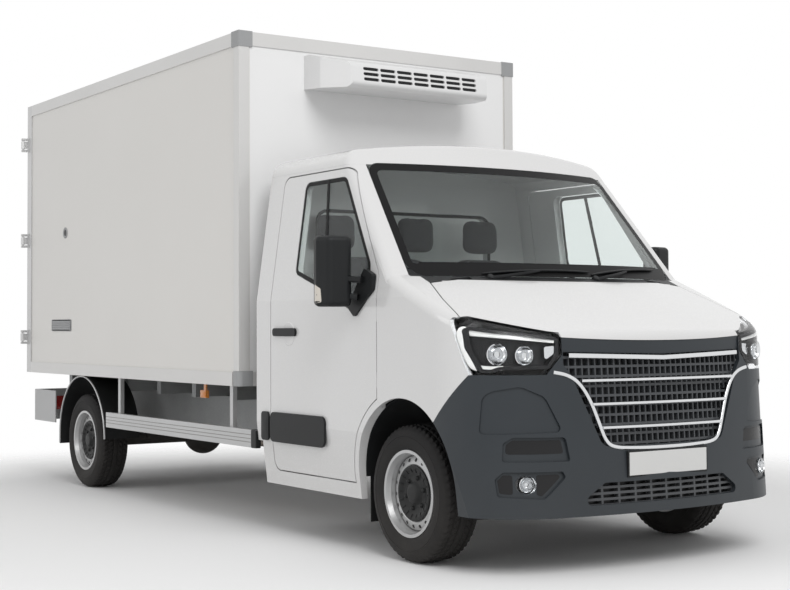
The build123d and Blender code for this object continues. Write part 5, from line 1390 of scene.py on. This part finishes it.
class TRUCK_OT_stage(bpy.types.Operator):
    """Pale floor, soft light and the camera at the photo's viewing angle"""

    bl_idname = "truck.stage"
    bl_label = "Stage"

    def execute(self, context):
        settings = context.scene.truck_stage
        context.scene.view_settings.view_transform = "Standard"
        self.lay_floor(settings)
        self.light(context, settings)
        self.place_camera(context, settings)
        return {"FINISHED"}

    def lay_floor(self, settings):
        """Round floor: rings of growing radius turned about the upright axis."""
        radius = np.concatenate(([0], np.geomspace(1, 40, 24)))
        rings, _, _ = turned(np.stack((radius, 0 * radius), 1), (0, 0, 0), (0, 0, 1), 64)
        mesh = bpy.data.meshes.new("floor")
        mesh.from_pydata(rings.reshape(-1, 3), [], quads(*rings.shape[:2], False, True).tolist())
        floor = bpy.data.objects.new("floor", mesh)
        bpy.context.scene.collection.objects.link(floor)
        tree, shader = fresh_material("floor", (*settings.floor_colour, 1))
        shader.inputs["Base Color"].default_value = (*settings.floor_colour, 1)
        shader.inputs["Roughness"].default_value = 0.85
        place = tree.nodes.new("ShaderNodeTexCoord")
        length = add_node(tree, "ShaderNodeVectorMath", operation="LENGTH")
        tree.links.new(place.outputs["Object"], length.inputs[0])
        fade = add_node(tree, "ShaderNodeMapRange", interpolation_type="SMOOTHSTEP")
        fade.inputs["From Min"].default_value, fade.inputs["From Max"].default_value = floor_fade
        tree.links.new(length.outputs["Value"], fade.inputs["Value"])
        let_through(tree, shader, fade.outputs[0], (1, 1, 1))
        mesh.materials.append(bpy.data.materials["floor"])

    def light(self, context, settings):
        """World that is white where it is seen and even light elsewhere, and soft area lamps."""
        world = bpy.data.worlds.new("studio")
        world.use_nodes = True
        tree = world.node_tree
        tree.nodes.clear()
        rays = tree.nodes.new("ShaderNodeLightPath")
        seen = rays.outputs["Is Camera Ray"]
        for label in ("Is Glossy Ray", "Is Transmission Ray"):
            either = add_node(tree, "ShaderNodeMath", operation="MAXIMUM")
            tree.links.new(seen, either.inputs[0])
            tree.links.new(rays.outputs[label], either.inputs[1])
            seen = either.outputs[0]
        even = add_node(tree, "ShaderNodeBackground", Color=(1, 1, 1, 1), Strength=settings.sky_light)
        white = add_node(tree, "ShaderNodeBackground", Color=(1, 1, 1, 1), Strength=1.0)
        mix = tree.nodes.new("ShaderNodeMixShader")
        output = tree.nodes.new("ShaderNodeOutputWorld")
        tree.links.new(seen, mix.inputs[0])
        tree.links.new(even.outputs[0], mix.inputs[1])
        tree.links.new(white.outputs[0], mix.inputs[2])
        tree.links.new(mix.outputs[0], output.inputs["Surface"])
        context.scene.world = world
        lamps = (
            ("key", (9.0, -2.5, 8.0), (0.8, 0.0, 1.2), 6.0, settings.key_power),
            ("side", (-1.0, -10.0, 5.0), (-0.8, 0.0, 1.4), 6.0, settings.side_power),
        )
        for name, place, aim, size, power in lamps:
            lamp = bpy.data.lights.new(name, "AREA")
            lamp.shape = "DISK"
            lamp.size = size
            lamp.energy = power
            holder = bpy.data.objects.new(name, lamp)
            holder.location = place
            holder.rotation_euler = (Vector(aim) - Vector(place)).to_track_quat("-Z", "Y").to_euler()
            context.scene.collection.objects.link(holder)

    def place_camera(self, context, settings):
        """Camera at the eye point solved from the photo, with its small roll and shift."""
        forward = Vector(camera_forward).normalized()
        right = forward.cross(Vector((0, 0, 1))).normalized()
        up = right.cross(forward)
        turn = Matrix.Rotation(camera_roll, 3, forward)
        right, up = turn @ right, turn @ up
        camera = bpy.data.cameras.new("camera")
        camera.lens = settings.lens
        camera.sensor_width = 36.0
        camera.shift_x, camera.shift_y = camera_shift
        camera.clip_end = 200
        holder = bpy.data.objects.new("camera", camera)
        place = Matrix((right, up, -forward)).transposed().to_4x4()
        place.translation = camera_place
        holder.matrix_world = place
        context.scene.collection.objects.link(holder)
        context.scene.camera = holder


operators = (
    TRUCK_OT_finishes,
    TRUCK_OT_tyres,
    TRUCK_OT_hub_covers,
    TRUCK_OT_grille,
    TRUCK_OT_front_lamps,
    TRUCK_OT_number_plates,
    TRUCK_OT_glazing,
    TRUCK_OT_mirrors,
    TRUCK_OT_door_trim,
    TRUCK_OT_cooler_trim,
    TRUCK_OT_box_trim,
    TRUCK_OT_guard_trim,
    TRUCK_OT_rear_lamps,
    TRUCK_OT_seats,
    TRUCK_OT_dash_trim,
    TRUCK_OT_stage,
)


class TRUCK_PT_panel(bpy.types.Panel):
    """Lists the truck's pieces and settings"""

    bl_idname = "TRUCK_PT_panel"
    bl_label = "Refrigerated truck"
    bl_space_type = "VIEW_3D"
    bl_region_type = "UI"
    bl_category = "Truck"

    def draw(self, context):
        for group in (context.scene.truck, context.scene.truck_stage):
            for label in group.__annotations__:
                self.layout.prop(group, label)
        for kind in operators:
            self.layout.operator(kind.bl_idname)


classes = (TruckSettings, StageSettings, *operators, TRUCK_PT_panel)


def register():
    """Registers the classes and hangs the settings on the scene."""
    for kind in classes:
        bpy.utils.register_class(kind)
    bpy.types.Scene.truck = bpy.props.PointerProperty(type=TruckSettings)
    bpy.types.Scene.truck_stage = bpy.props.PointerProperty(type=StageSettings)


def unregister():
    """Takes the settings and the classes away again."""
    del bpy.types.Scene.truck_stage
    del bpy.types.Scene.truck
    for kind in reversed(classes):
        bpy.utils.unregister_class(kind)


def main():
    """Makes every piece in order."""
    register()
    bpy.ops.truck.finishes()
    bpy.ops.truck.tyres()
    bpy.ops.truck.hub_covers()
    bpy.ops.truck.grille()
    bpy.ops.truck.front_lamps()
    bpy.ops.truck.number_plates()
    bpy.ops.truck.glazing()
    bpy.ops.truck.mirrors()
    bpy.ops.truck.door_trim()
    bpy.ops.truck.cooler_trim()
    bpy.ops.truck.box_trim()
    bpy.ops.truck.guard_trim()
    bpy.ops.truck.rear_lamps()
    bpy.ops.truck.seats()
    bpy.ops.truck.dash_trim()
    bpy.ops.truck.stage()


if __name__ == "__main__":
    main()
